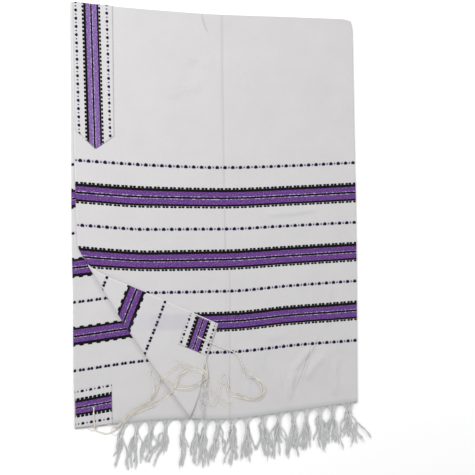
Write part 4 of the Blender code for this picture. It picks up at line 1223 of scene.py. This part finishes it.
def draw_bunch(yarns, chance, hem, bunch, level, end_level, locks, yarns_each):
    """One knotted bunch. level asks for the height that yarns lie at in a place near the knot."""
    spot, outward = hem.at(bunch.distance)
    sideways = Vector((-outward.y, outward.x))
    heading = (outward + sideways * bunch.lean).normalized()
    square = Vector((-heading.y, heading.x))
    knot = spot.xy + outward * STARTS_OUT + heading * KNOT_BELOW_HEM * chance.uniform(*KNOT_DROP_SHARE)
    total = locks * yarns_each
    for lock in range(locks):
        side = lock - (locks - 1) / 2
        reach = (bunch.length - KNOT_BELOW_HEM - STARTS_OUT) * chance.uniform(*LOCK_LENGTH_SHARE)
        wave_turn, waves = chance.uniform(*ANY_TURN), chance.uniform(*LOCK_WAVES)
        wave_size = chance.uniform(*LOCK_WAVE_SIZE)
        side_swing = LOCK_SPREAD * chance.uniform(*LOCK_SPREAD_SHARE)
        twist = chance.uniform(*LOCK_TWISTS) * chance.choice((-1, 1))
        own_lean = chance.uniform(*LOCK_LEAN)
        for yarn in range(yarns_each):
            order = lock * yarns_each + yarn
            root_share = (order + 0.5) / total - 0.5
            root, way_out = hem.at(bunch.distance + root_share * BUNCH_ROOT)
            root_place = root.xy - way_out * FIXED_IN
            bend = chance.uniform(*YARN_BEND)
            places, radii = [], []
            for share in spread(0, 1, 7):
                pinch = ease(min(share * 1.35, 1))
                place = root_place.lerp(knot + square * root_share * 0.005, share)
                off = (pinch - share) * 0.7 * (knot - root_place).dot(square)
                place = place + square * (off + bend * math.sin(math.pi * share))
                height = root.z + (level(knot) - root.z) * ease(share)
                height += 0.0009 * math.sin(5.0 * order + 3 * share) * share
                places.append(Vector((*place, height)))
                radii.append(FRINGE_YARN_RADIUS)
            own_turn = 2 * math.pi * yarn / yarns_each
            own_reach = reach * chance.uniform(*YARN_LENGTH_SHARE)
            kinks, kink_turn = own_reach / chance.uniform(*KINK_LENGTH), chance.uniform(*ANY_TURN)
            kink_size = chance.uniform(*KINK_SIZE)
            lock_width = chance.uniform(*LOCK_WIDTH)
            for share in spread(0, 1, 27)[1:]:
                turn = own_turn + twist * 2 * math.pi * share
                opening = ease(share * 5)
                across = side * side_swing * math.sin(share * 1.9)
                across += own_lean * own_reach * share
                across += wave_size * math.sin(2 * math.pi * waves * share + wave_turn)
                across += (lock_width + 0.0008 * share * share) * math.cos(turn)
                across += kink_size * math.sin(2 * math.pi * kinks * share + kink_turn)
                place = knot + heading * own_reach * share + square * across * opening
                lie = level(place) + (end_level - level(place)) * ease(share * 1.15)
                places.append(Vector((*place, lie + 0.0008 * math.sin(turn))))
                tip = max(share - YARN_TIP_FROM, 0) / YARN_TIP_SHARE
                radii.append(FRINGE_YARN_RADIUS * (1 - 0.55 * tip))
            yarns.draw(places, radii)
    turns = []
    for share in spread(0, 1, 20):
        turn = 2 * math.pi * KNOT_WRAPS * share
        height = level(knot) + KNOT_HALF_HEIGHT * math.sin(turn)
        down = heading * (KNOT_LENGTH * share - KNOT_LENGTH / 2)
        place = knot + square * KNOT_HALF_WIDTH * math.cos(turn) + down
        turns.append(Vector((*place, max(height, FRINGE_YARN_RADIUS))))
    yarns.draw(turns, [FRINGE_YARN_RADIUS] * len(turns))


OVERCAST_PITCH = 0.0032
OVERCAST_OUT = 0.0013
OVERCAST_SLANT = 0.0012
OVERCAST_RADII = (0.00050, 0.00055, 0.00050)


def draw_overcast(yarns, hem, height):
    """Short stitches over the very edge of the hem, which keep the weave from opening."""
    count = int(hem.length / OVERCAST_PITCH)
    for i in range(count):
        spot, outward = hem.at(hem.length * (i + 0.5) / count)
        run = Vector((-outward.y, outward.x))
        start = spot.xy - outward * FIXED_IN
        end = spot.xy + outward * OVERCAST_OUT + run * OVERCAST_SLANT
        top = spot.z + height
        places = [
            Vector((*start, top - 0.0004)),
            Vector((*start.lerp(end, 0.5), top + 0.0002)),
            Vector((*end, spot.z)),
        ]
        yarns.draw(places, OVERCAST_RADII, 4)


YARN_RELIEF = 0.0004


def yarn_look(name, pale, dark, ply_pitch, plies=2):
    """Twisted wool yarn: its plies stand out in relief, and its colour is painted lighter on them and darker
    between them, as painted highlight and shade, mottled at random by fuzz and patches.
    """
    fixed = {"Roughness": 0.9, "Sheen_Weight": 0.3, "Specular_IOR_Level": 0.15}
    look, place, length, turn = new_look(name, "strand", **fixed)
    phase = length * (2 * math.pi / ply_pitch) + turn * (2 * math.pi * plies)
    ridge = phase.math("SINE", phase) * 0.5 + 0.5
    fuzz = place.stretched(900, 7.0).mottle(1.0, 2.0)
    patches = place.stretched(45, 1.0, 3.0).mottle(1.0, 2.0)
    shade = ridge * 0.30 + fuzz * 0.35 + patches * 0.45
    finish_look(look, shade.blend(dark, pale), ridge + fuzz * 0.6, YARN_RELIEF)
    return look


fringe_look = yarn_look("fringe_yarn", (0.87, 0.87, 0.86), (0.36, 0.385, 0.38), 0.0034)
corner_fringe_look = yarn_look("corner_fringe_yarn", (0.76, 0.75, 0.74), (0.58, 0.57, 0.56), 0.0034)


def draw_fringe(yarns, chance, hem, distances, row, lock_counts, yarns_each):
    """A row of bunches that lie level.

    row is a FringeRow, or gives each bunch its own. lock_counts are the numbers of locks one may have.
    """
    for i, distance in enumerate(distances):
        own = row(i) if callable(row) else row
        locks = chance.choice(lock_counts) if len(lock_counts) > 1 else lock_counts[0]
        bunch = uneven_bunch(i, distance, own)
        draw_bunch(yarns, chance, hem, bunch, lambda place: own.knots_lie, own.tips_lie, locks, yarns_each)


def uneven_bunch(index, distance, row):
    length = uneven(index, row.length - row.shortens * index, row.length_varies)
    return Bunch(distance, length, uneven(index, row.lean, row.lean_varies))


def hem_between(surface, along, first, last, steps):
    return Hem([surface(across, along) for across in spread(first, last, steps)])


def build_fringes():
    """The four rows of fringe, each with the node that it stands for."""
    chance = random.Random(4)
    made = []
    front_start, front_end = hem_leaves_fold(-CLEAR_OF_HEM_ENDS), SIDE_FLAT - CLEAR_OF_HEM_ENDS
    front_hem = hem_between(front_surface, HEM_ALONG, front_start, front_end, 90)
    places = front_hem.bunches()

    def front_row(i):
        last = i == len(places) - 1
        return FRONT_FRINGE._replace(lean=FRONT_LAST_LEAN, lean_varies=0.0) if last else FRONT_FRINGE

    yarns = Yarns()
    draw_fringe(yarns, chance, front_hem, places, front_row, (3, 3, 4), 5)
    draw_overcast(yarns, front_hem, CLOTH_THICKNESS / 2)
    made.append((yarns.piece("fringe_yarns_front", fringe_look), "fringe_front"))

    start, end = hem_leaves_fold(FOLD.arc + CORNER_FRINGE_STARTS), FRONT_PATCH_SIZE[0] + 0.004
    corner_hem = hem_between(front_surface, HEM_ALONG, start, end, 40)

    def on_cloth(place):
        return front_height(place.x, place.y) + CLOTH_THICKNESS / 2 + CORNER_FRINGE_LIFT

    yarns = Yarns()
    for i, distance in enumerate(corner_hem.bunches()):
        bunch = uneven_bunch(i, distance, CORNER_FRINGE)
        spot = corner_hem.at(distance)[0]
        draw_bunch(yarns, chance, corner_hem, bunch, on_cloth, on_cloth(spot), 2, 2)
    made.append((yarns.piece("fringe_yarns_corner", corner_fringe_look), "fringe_corner"))

    back_hem = hem_between(back_surface, BACK_HEM_ALONG, *BACK_FRINGE_ACROSS, 90)
    fold_end = CORNER_FOLD_END[0]
    showing = [place for place in back_hem.bunches() if back_hem.at(place)[0].x < fold_end + 0.010]
    front_crossings = [fold_end + 0.008] + [front_hem.at(place)[0].x for place in places]

    def back_row(i):
        return BACK_FRINGE if i < len(showing) else BACK_FRINGE_UNDER_FRONT

    yarns = Yarns()
    back_places = showing + straight_under(back_hem, front_crossings)
    draw_fringe(yarns, chance, back_hem, back_places, back_row, (3, 4, 4), 4)
    draw_overcast(yarns, back_hem, CLOTH_THICKNESS / 2)
    made.append((yarns.piece("fringe_yarns_back", fringe_look), "fringe_back"))

    hidden_hem = Hem([(x, y, HIDDEN_TOP / 2) for x, y in HIDDEN_HEM[1:]])
    all_crossings = [back_hem.at(place)[0].x for place in showing] + front_crossings
    yarns = Yarns()
    draw_fringe(yarns, chance, hidden_hem, straight_under(hidden_hem, all_crossings), HIDDEN_FRINGE, (3,), 3)
    made.append((yarns.piece("fringe_yarns_hidden", fringe_look), "fringe_hidden"))
    return made


fringes = build_fringes()
for piece, node in fringes:
    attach(piece, "root")
    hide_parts(node)

# Corner tassels
# Long wool strings drawn through each corner's eyelet, wound and knotted into a cord for a stretch,
# and then left loose as eight strings.
STRING_RADIUS = 0.00072
STRING_PITCH = 0.0020
CORD_RADIUS = 0.0016
CORD_CORE_RADIUS = CORD_RADIUS * 0.62
CORD_STEP = 0.0011
WINDING_PITCH = 0.0013
CORD_KNOTS = 5
CORD_KNOT_HALF = 0.0016
CORD_KNOT_BULGE = 0.0010
TAIL_SPREAD = 0.0022
STRING_STEP = 0.0035
STRAY_STEP = 0.0030
STRING_WAVES = (1.5, 3.5)
STRING_WANDER = (0.0012, 0.0036)
STRING_LENGTH_SHARE = (0.93, 1.0)
FRONT_CORD = (
    (-0.054, -0.323), (-0.037, -0.331), (-0.022, -0.337), (-0.007, -0.346), (0.008, -0.351),
    (0.030, -0.360), (0.048, -0.375), (0.056, -0.395), (0.061, -0.406),
)
FRONT_UPPER_STRINGS = (
    (0.081, -0.424), (0.101, -0.439), (0.110, -0.454), (0.107, -0.469), (0.093, -0.481),
    (0.073, -0.481), (0.052, -0.474), (0.034, -0.471),
)
FRONT_LOWER_STRINGS = FRONT_UPPER_STRINGS[:-1] + (
    (0.032, -0.471), (0.023, -0.462), (0.020, -0.449), (0.011, -0.439), (0.000, -0.444),
    (-0.004, -0.460), (-0.001, -0.477), (0.012, -0.489), (0.030, -0.492), (0.044, -0.488),
)
BACK_CORD = (
    (-0.308, -0.485), (-0.308, -0.502), (-0.306, -0.534), (-0.303, -0.543), (-0.293, -0.548),
    (-0.280, -0.552), (-0.268, -0.550), (-0.255, -0.542), (-0.243, -0.526), (-0.226, -0.508),
)
BACK_UPPER_STRINGS = (
    (-0.207, -0.493), (-0.178, -0.478), (-0.163, -0.464), (-0.159, -0.447), (-0.149, -0.435),
    (-0.144, -0.420), (-0.129, -0.410), (-0.111, -0.396), (-0.086, -0.392), (-0.058, -0.397),
    (-0.041, -0.409), (-0.030, -0.427), (-0.020, -0.452), (-0.013, -0.467), (-0.001, -0.478),
)
BACK_LOWER_STRINGS = (
    (-0.212, -0.505), (-0.190, -0.493), (-0.161, -0.483), (-0.134, -0.467), (-0.122, -0.456),
    (-0.111, -0.440), (-0.103, -0.419), (-0.085, -0.405), (-0.063, -0.404), (-0.046, -0.409),
    (-0.037, -0.419), (-0.047, -0.430), (-0.064, -0.442), (-0.085, -0.447), (-0.107, -0.444),
    (-0.124, -0.436), (-0.141, -0.425),
)
FRONT_STRAYS = (
    ((0.060, -0.404), (0.062, -0.420), (0.066, -0.430), (0.074, -0.427), (0.084, -0.428)),
    ((-0.107, -0.374), (-0.100, -0.384), (-0.086, -0.397)),
    ((-0.035, -0.382), (-0.035, -0.399), (-0.031, -0.414)),
    ((0.010, -0.440), (0.002, -0.432), (0.004, -0.422), (0.014, -0.414), (0.020, -0.426), (0.022, -0.450)),
)
BACK_STRAYS = (
    (
        (-0.178, -0.478), (-0.163, -0.454), (-0.166, -0.424), (-0.173, -0.414), (-0.171, -0.401),
        (-0.163, -0.403), (-0.152, -0.414), (-0.150, -0.428), (-0.152, -0.442), (-0.166, -0.468),
        (-0.185, -0.485),
    ),
    (
        (-0.193, -0.492), (-0.153, -0.474), (-0.124, -0.453), (-0.107, -0.437), (-0.100, -0.415),
        (-0.080, -0.403),
    ),
    ((-0.065, -0.443), (-0.047, -0.436), (-0.043, -0.452), (-0.033, -0.430), (-0.038, -0.415)),
    ((-0.103, -0.375), (-0.086, -0.393), (-0.085, -0.405)),
    (
        (-0.141, -0.425), (-0.119, -0.439), (-0.107, -0.446), (-0.085, -0.452), (-0.063, -0.447),
        (-0.043, -0.432), (-0.030, -0.420),
    ),
    ((-0.139, -0.418), (-0.122, -0.429), (-0.110, -0.436)),
    ((-0.038, -0.372), (-0.033, -0.400), (-0.032, -0.420)),
    ((-0.043, -0.479), (-0.032, -0.489), (-0.017, -0.493), (-0.007, -0.483), (-0.003, -0.470)),
    (
        (-0.240, -0.522), (-0.252, -0.533), (-0.262, -0.536), (-0.268, -0.548), (-0.258, -0.556),
        (-0.246, -0.545), (-0.232, -0.520), (-0.212, -0.503),
    ),
    (
        (-0.300, -0.536), (-0.312, -0.543), (-0.322, -0.536), (-0.306, -0.530), (-0.286, -0.526),
        (-0.268, -0.529), (-0.256, -0.538),
    ),
    ((-0.262, -0.548), (-0.248, -0.534), (-0.232, -0.519), (-0.214, -0.503), (-0.190, -0.489)),
    ((-0.256, -0.538), (-0.240, -0.517), (-0.222, -0.504), (-0.200, -0.487), (-0.178, -0.474)),
    ((-0.250, -0.545), (-0.236, -0.527), (-0.214, -0.509), (-0.192, -0.499), (-0.160, -0.488)),
)


def route(points, spacing):
    """Evenly spaced places on a smooth curve through a route's own points, in plan."""
    knots = [Vector(point) for point in points]
    knots = [2 * knots[0] - knots[1]] + knots + [2 * knots[-1] - knots[-2]]
    dense = []
    for before, start, end, after in zip(knots, knots[1:], knots[2:], knots[3:]):
        for t in spread(0, 1, 24)[:-1]:
            bend = 2 * before - 5 * start + 4 * end - after
            twist = 3 * start - before - 3 * end + after
            dense.append(0.5 * (2 * start + (end - before) * t + bend * t**2 + twist * t**3))
    dense.append(knots[-2])
    total = sum((b - a).length for a, b in zip(dense, dense[1:]))
    steps = max(round(total / spacing), 2)
    places, travelled = [dense[0]], 0.0
    for before, after in zip(dense, dense[1:]):
        travelled += (after - before).length
        if len(places) < steps and travelled >= total * len(places) / steps:
            places.append(after)
    return places + [dense[-1]]


def lefts_along(places):
    """The left-hand direction at each place of a route, in plan."""
    ends = [places[0]] + places + [places[-1]]
    runs = [after - before for before, after in zip(ends, ends[2:])]
    return [Vector((-run.y, run.x)).normalized() for run in runs]


FEELER_REACH = 0.0015
OVER_ALL = 0.2


class LaidSurfaces:
    """The pieces laid so far, asked for the height on top of them."""

    def __init__(self, pieces):
        bpy.context.view_layer.update()
        seen = bpy.context.evaluated_depsgraph_get()
        self.trees = [BVHTree.FromObject(piece, seen) for piece in pieces]

    def height(self, place):
        best = 0.0
        for dx, dy in ((0, 0), (1, 0), (-1, 0), (0, 1), (0, -1)):
            above = Vector((place.x + dx * FEELER_REACH, place.y + dy * FEELER_REACH, OVER_ALL))
            for tree in self.trees:
                hit = tree.ray_cast(above, Vector((0, 0, -1)))[0]
                if hit:
                    best = max(best, hit.z)
        return best


laid_cloth = [cloth_front, cloth_back, neckband, patch_front, patch_back]
pile = LaidSurfaces(laid_cloth + [piece for piece, node in fringes])


def resting_heights(places):
    """Heights of a string's underside along a route, eased over steps in what it lies on."""
    raw = [pile.height(place) for place in places]
    last = len(raw) - 1
    raised = [max(raw[max(i - 1, 0) : i + 2]) for i in range(last + 1)]
    eased = [(raised[max(i - 1, 0)] + 2 * raised[i] + raised[min(i + 1, last)]) / 4 for i in range(last + 1)]
    return [max(a, b) for a, b in zip(raw, eased)]


def draw_string(yarns, chance, points, lane, rise, settles):
    """One loose string in its own lane of a route. A raised one settles over a share of it."""
    middle_line = route(points, STRING_STEP)
    lefts = lefts_along(middle_line)
    last = len(middle_line) - 1
    turn, waves = chance.uniform(*ANY_TURN), chance.uniform(*STRING_WAVES)
    wander_size = chance.uniform(*STRING_WANDER)
    ends = round(last * chance.uniform(*STRING_LENGTH_SHARE))
    lanes = []
    for i, (place, left) in enumerate(zip(middle_line[: ends + 1], lefts)):
        share = i / last
        wander = wander_size * math.sin(2 * math.pi * waves * share + turn) * ease(share * 5)
        lanes.append(place + left * (lane * (STRING_PITCH + TAIL_SPREAD * share**2) + wander))
    places = []
    for i, (place, under) in enumerate(zip(lanes, resting_heights(lanes))):
        fall = ease(i / last / settles) if settles else 0.0
        places.append(Vector((*place, under + STRING_RADIUS + rise * (1 - fall))))
    radii = [STRING_RADIUS] * (len(places) - 2) + [STRING_RADIUS * 0.9, STRING_RADIUS * 0.5]
    yarns.draw(places, radii, 6)


def draw_cord(yarns, points):
    """The wound stretch: one string wound round the others in turns, with double knots between."""
    core = route(points, CORD_STEP)
    under = resting_heights(core)
    lefts = lefts_along(core)
    middle = [Vector((*place, height + CORD_RADIUS)) for place, height in zip(core, under)]
    yarns.draw(middle, [CORD_CORE_RADIUS] * len(middle), 8)
    winding, radii = [], []
    length = CORD_STEP * (len(core) - 1)
    for i in range(len(middle) - 1):
        for part in spread(0, 1, 8)[:-1]:
            place = middle[i].lerp(middle[i + 1], part)
            left = lefts[i].lerp(lefts[i + 1], part)
            travelled = (i + part) * CORD_STEP
            turn = 2 * math.pi * travelled / WINDING_PITCH
            share = (travelled / length * CORD_KNOTS) % 1
            knot = math.exp(-(((share - 0.5) * length / CORD_KNOTS / CORD_KNOT_HALF) ** 2))
            out = Vector((*(left * math.cos(turn)), math.sin(turn)))
            coil = place + out * (CORD_RADIUS - STRING_RADIUS + CORD_KNOT_BULGE * knot)
            thickness = STRING_RADIUS * (1 + 0.35 * knot)
            coil.z = max(coil.z, place.z - CORD_RADIUS + thickness)
            winding.append(coil)
            radii.append(thickness)
    yarns.draw(winding, radii, 5)
    return middle


def draw_stray(yarns, points, rise):
    """One string by itself, which lies over the others where it crosses them."""
    places = route(points, STRAY_STEP)
    heights = resting_heights(places)
    places = [Vector((*place, under + STRING_RADIUS + rise)) for place, under in zip(places, heights)]
    yarns.draw(places, [STRING_RADIUS * 0.85] * len(places), 5)


def build_cord(name, points):
    """The wound stretch as a piece of its own, and the line that it follows."""
    yarns = Yarns()
    middle = draw_cord(yarns, points)
    shift = Vector((*CLOTH_MIDDLE, 0.0))
    return yarns.piece(name, string_look), [place + shift for place in middle]


def build_strings(name, cord_points, upper_route, lower_route, upper_settles, strays, seed):
    """Eight strings from the cord's end in two bundles, the upper one over the lower, and strays."""
    yarns = Yarns()
    chance = random.Random(seed)
    for lane in (1.5, 0.5, -0.5, -1.5):
        draw_string(yarns, chance, cord_points[-1:] + upper_route, lane, STRING_PITCH, upper_settles)
        draw_string(yarns, chance, cord_points[-1:] + lower_route, lane, 0.0, 0.0)
    for points in strays:
        draw_stray(yarns, points, 1.5 * STRING_PITCH)
    return yarns.piece(name, string_look)


string_look = yarn_look("string_yarn", (0.93, 0.90, 0.835), (0.63, 0.59, 0.51), 0.0030)
cord_front, cord_front_line = build_cord("tassel_cord_front", FRONT_CORD)
cord_back, cord_back_line = build_cord("tassel_cord_back", BACK_CORD)
strings_front = build_strings(
    "tassel_strings_front", FRONT_CORD, FRONT_UPPER_STRINGS, FRONT_LOWER_STRINGS, 0.0, FRONT_STRAYS, 7
)
strings_back = build_strings(
    "tassel_strings_back", BACK_CORD, BACK_UPPER_STRINGS, BACK_LOWER_STRINGS, 0.3, BACK_STRAYS, 8
)
for cord, line, strings, node in (
    (cord_front, cord_front_line, strings_front, "tassel_front"),
    (cord_back, cord_back_line, strings_back, "tassel_back"),
):
    length = sum((after - before).length for before, after in zip(line, line[1:]))
    for piece in (cord, strings):
        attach(piece, "root")
        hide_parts(node)

# Sewing
# White thread: a line of machine stitches just inside the edges of the neckband and the patches, and
# close buttonhole stitches round each patch's eyelet.
STITCH_PITCH = 0.0034
STITCH_LENGTH = 0.0027
THREAD_RADIUS = 0.00028
STITCH_INSET = 0.0018
EYELET_PLACES = ((-0.0543, -0.3231), (-0.3084, -0.4860))
EYELET_RADIUS = 0.0024
EYELET_STITCHES = 24
EYELET_LOOP_REACH = 0.0007
EYELET_LOOP_RISE = 0.0004


def draw_stitches(yarns, places):
    """A row of stitches through laid places, each dipping into the cloth at its ends."""
    marks = [0.0]
    for before, after in zip(places, places[1:]):
        marks.append(marks[-1] + (after - before).length)
    last = len(places) - 2
    down = Vector((0, 0, -1.6 * THREAD_RADIUS))
    radii = (THREAD_RADIUS * 0.8, THREAD_RADIUS, THREAD_RADIUS * 0.8)

    def at(distance):
        i = next(k for k in range(last + 1) if distance <= marks[k + 1] or k == last)
        return places[i].lerp(places[i + 1], (distance - marks[i]) / (marks[i + 1] - marks[i]))

    count = int(marks[-1] / STITCH_PITCH)
    for i in range(count):
        start = marks[-1] * i / count
        begins, middle, ends = at(start), at(start + STITCH_LENGTH / 2), at(start + STITCH_LENGTH)
        yarns.draw([begins + down, middle, ends + down], radii, 4)


def between_corners(corners, steps):
    """Places (across, along) on the lines from each corner to the next, without the last corner."""
    for start, end in zip(corners, corners[1:]):
        for share in spread(0, 1, steps)[:-1]:
            yield tuple(a + (b - a) * share for a, b in zip(start, end))


def patch_edge(surface, hem_along, size, lift):
    """Laid places round a patch just inside its edge."""
    low, inset = PATCH_INSET + STITCH_INSET, STITCH_INSET
    corners = (
        (low, hem_along - size[1] + inset), (low, hem_along - low),
        (size[0] - inset, hem_along - low), (size[0] - inset, hem_along - size[1] + inset),
    )
    round_it = between_corners(corners + corners[:1], 12)
    places = [off_surface(surface, across, along, lift) for across, along in round_it]
    return places + places[:1]


def neckband_edge(lift):
    """Laid places round the neckband just inside its edge, from the middle fold and back to it."""
    side = STITCH_INSET / BAND_WIDTH
    shares_alongs = (
        (side, 0.004), (side, BAND_NECK_SHOULDER - 0.0010), (BAND_TIP_SHARE, BAND_TIP - 0.0024),
        (1 - side, BAND_FOLD_SHOULDER - 0.0010), (1 - side, 0.004),
    )
    corners = [(band_inset(along) + share * BAND_WIDTH, along) for share, along in shares_alongs]
    return [off_surface(front_surface, across, along, lift) for across, along in between_corners(corners, 30)]


def draw_eyelet(yarns, place):
    """Buttonhole stitches: short loops side by side round the hole."""
    middle = Vector((*place, pile.height(Vector(place)) - 0.0002))
    turns = spread(0, 2 * math.pi, EYELET_STITCHES * 8)
    ring = []
    for turn in turns:
        loop_turn = turn * EYELET_STITCHES
        out = Vector((math.cos(turn), math.sin(turn), 0))
        reach = EYELET_RADIUS + EYELET_LOOP_REACH * math.cos(loop_turn)
        ring.append(middle + out * reach + Vector((0, 0, EYELET_LOOP_RISE * (1 + math.sin(loop_turn)))))
    yarns.draw(ring, [THREAD_RADIUS] * len(ring), 4)


def build_sewing():
    yarns = Yarns()
    over_patch = patch_lift + PATCH_THICKNESS / 2 + THREAD_RADIUS * 0.6
    over_band = CLOTH_THICKNESS / 2 + SEWN_GAP + BAND_THICKNESS + THREAD_RADIUS * 0.6
    draw_stitches(yarns, patch_edge(front_surface, HEM_ALONG, FRONT_PATCH_SIZE, -over_patch))
    draw_stitches(yarns, patch_edge(back_surface, BACK_HEM_ALONG, BACK_PATCH_SIZE, over_patch))
    draw_stitches(yarns, neckband_edge(over_band))
    for place in EYELET_PLACES:
        draw_eyelet(yarns, place)
    return yarns.piece("white_sewing", thread_look)


thread_look = yarn_look("sewing_thread", (0.80, 0.79, 0.80), (0.55, 0.54, 0.56), 0.0012)
white_sewing = build_sewing()
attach(white_sewing, "root")

# Floor
# A plain white table top, far wider than the shawl that lies on it. It is painted matt, so it takes
# only soft shadows.
FLOOR_HALF = 6
FLOOR_GAP = 0.0003
floor_mesh = bpy.data.meshes.new("floor")
corners = [(x * FLOOR_HALF, y * FLOOR_HALF, 0) for x, y in ((-1, -1), (1, -1), (1, 1), (-1, 1))]
floor_mesh.from_pydata(corners, [], [(0, 1, 2, 3)])
floor = bpy.data.objects.new("floor", floor_mesh)
floor.location = (0, 0, -FLOOR_GAP)
floor_look = bpy.data.materials.new("floor")
floor_look.use_nodes = True
floor_shader = floor_look.node_tree.nodes["Principled BSDF"]
floor_shader.inputs["Base Color"].default_value = (0.96, 0.96, 0.96, 1)
floor_shader.inputs["Roughness"].default_value = 0.8
floor_mesh.materials.append(floor_look)
bpy.context.scene.collection.objects.link(floor)
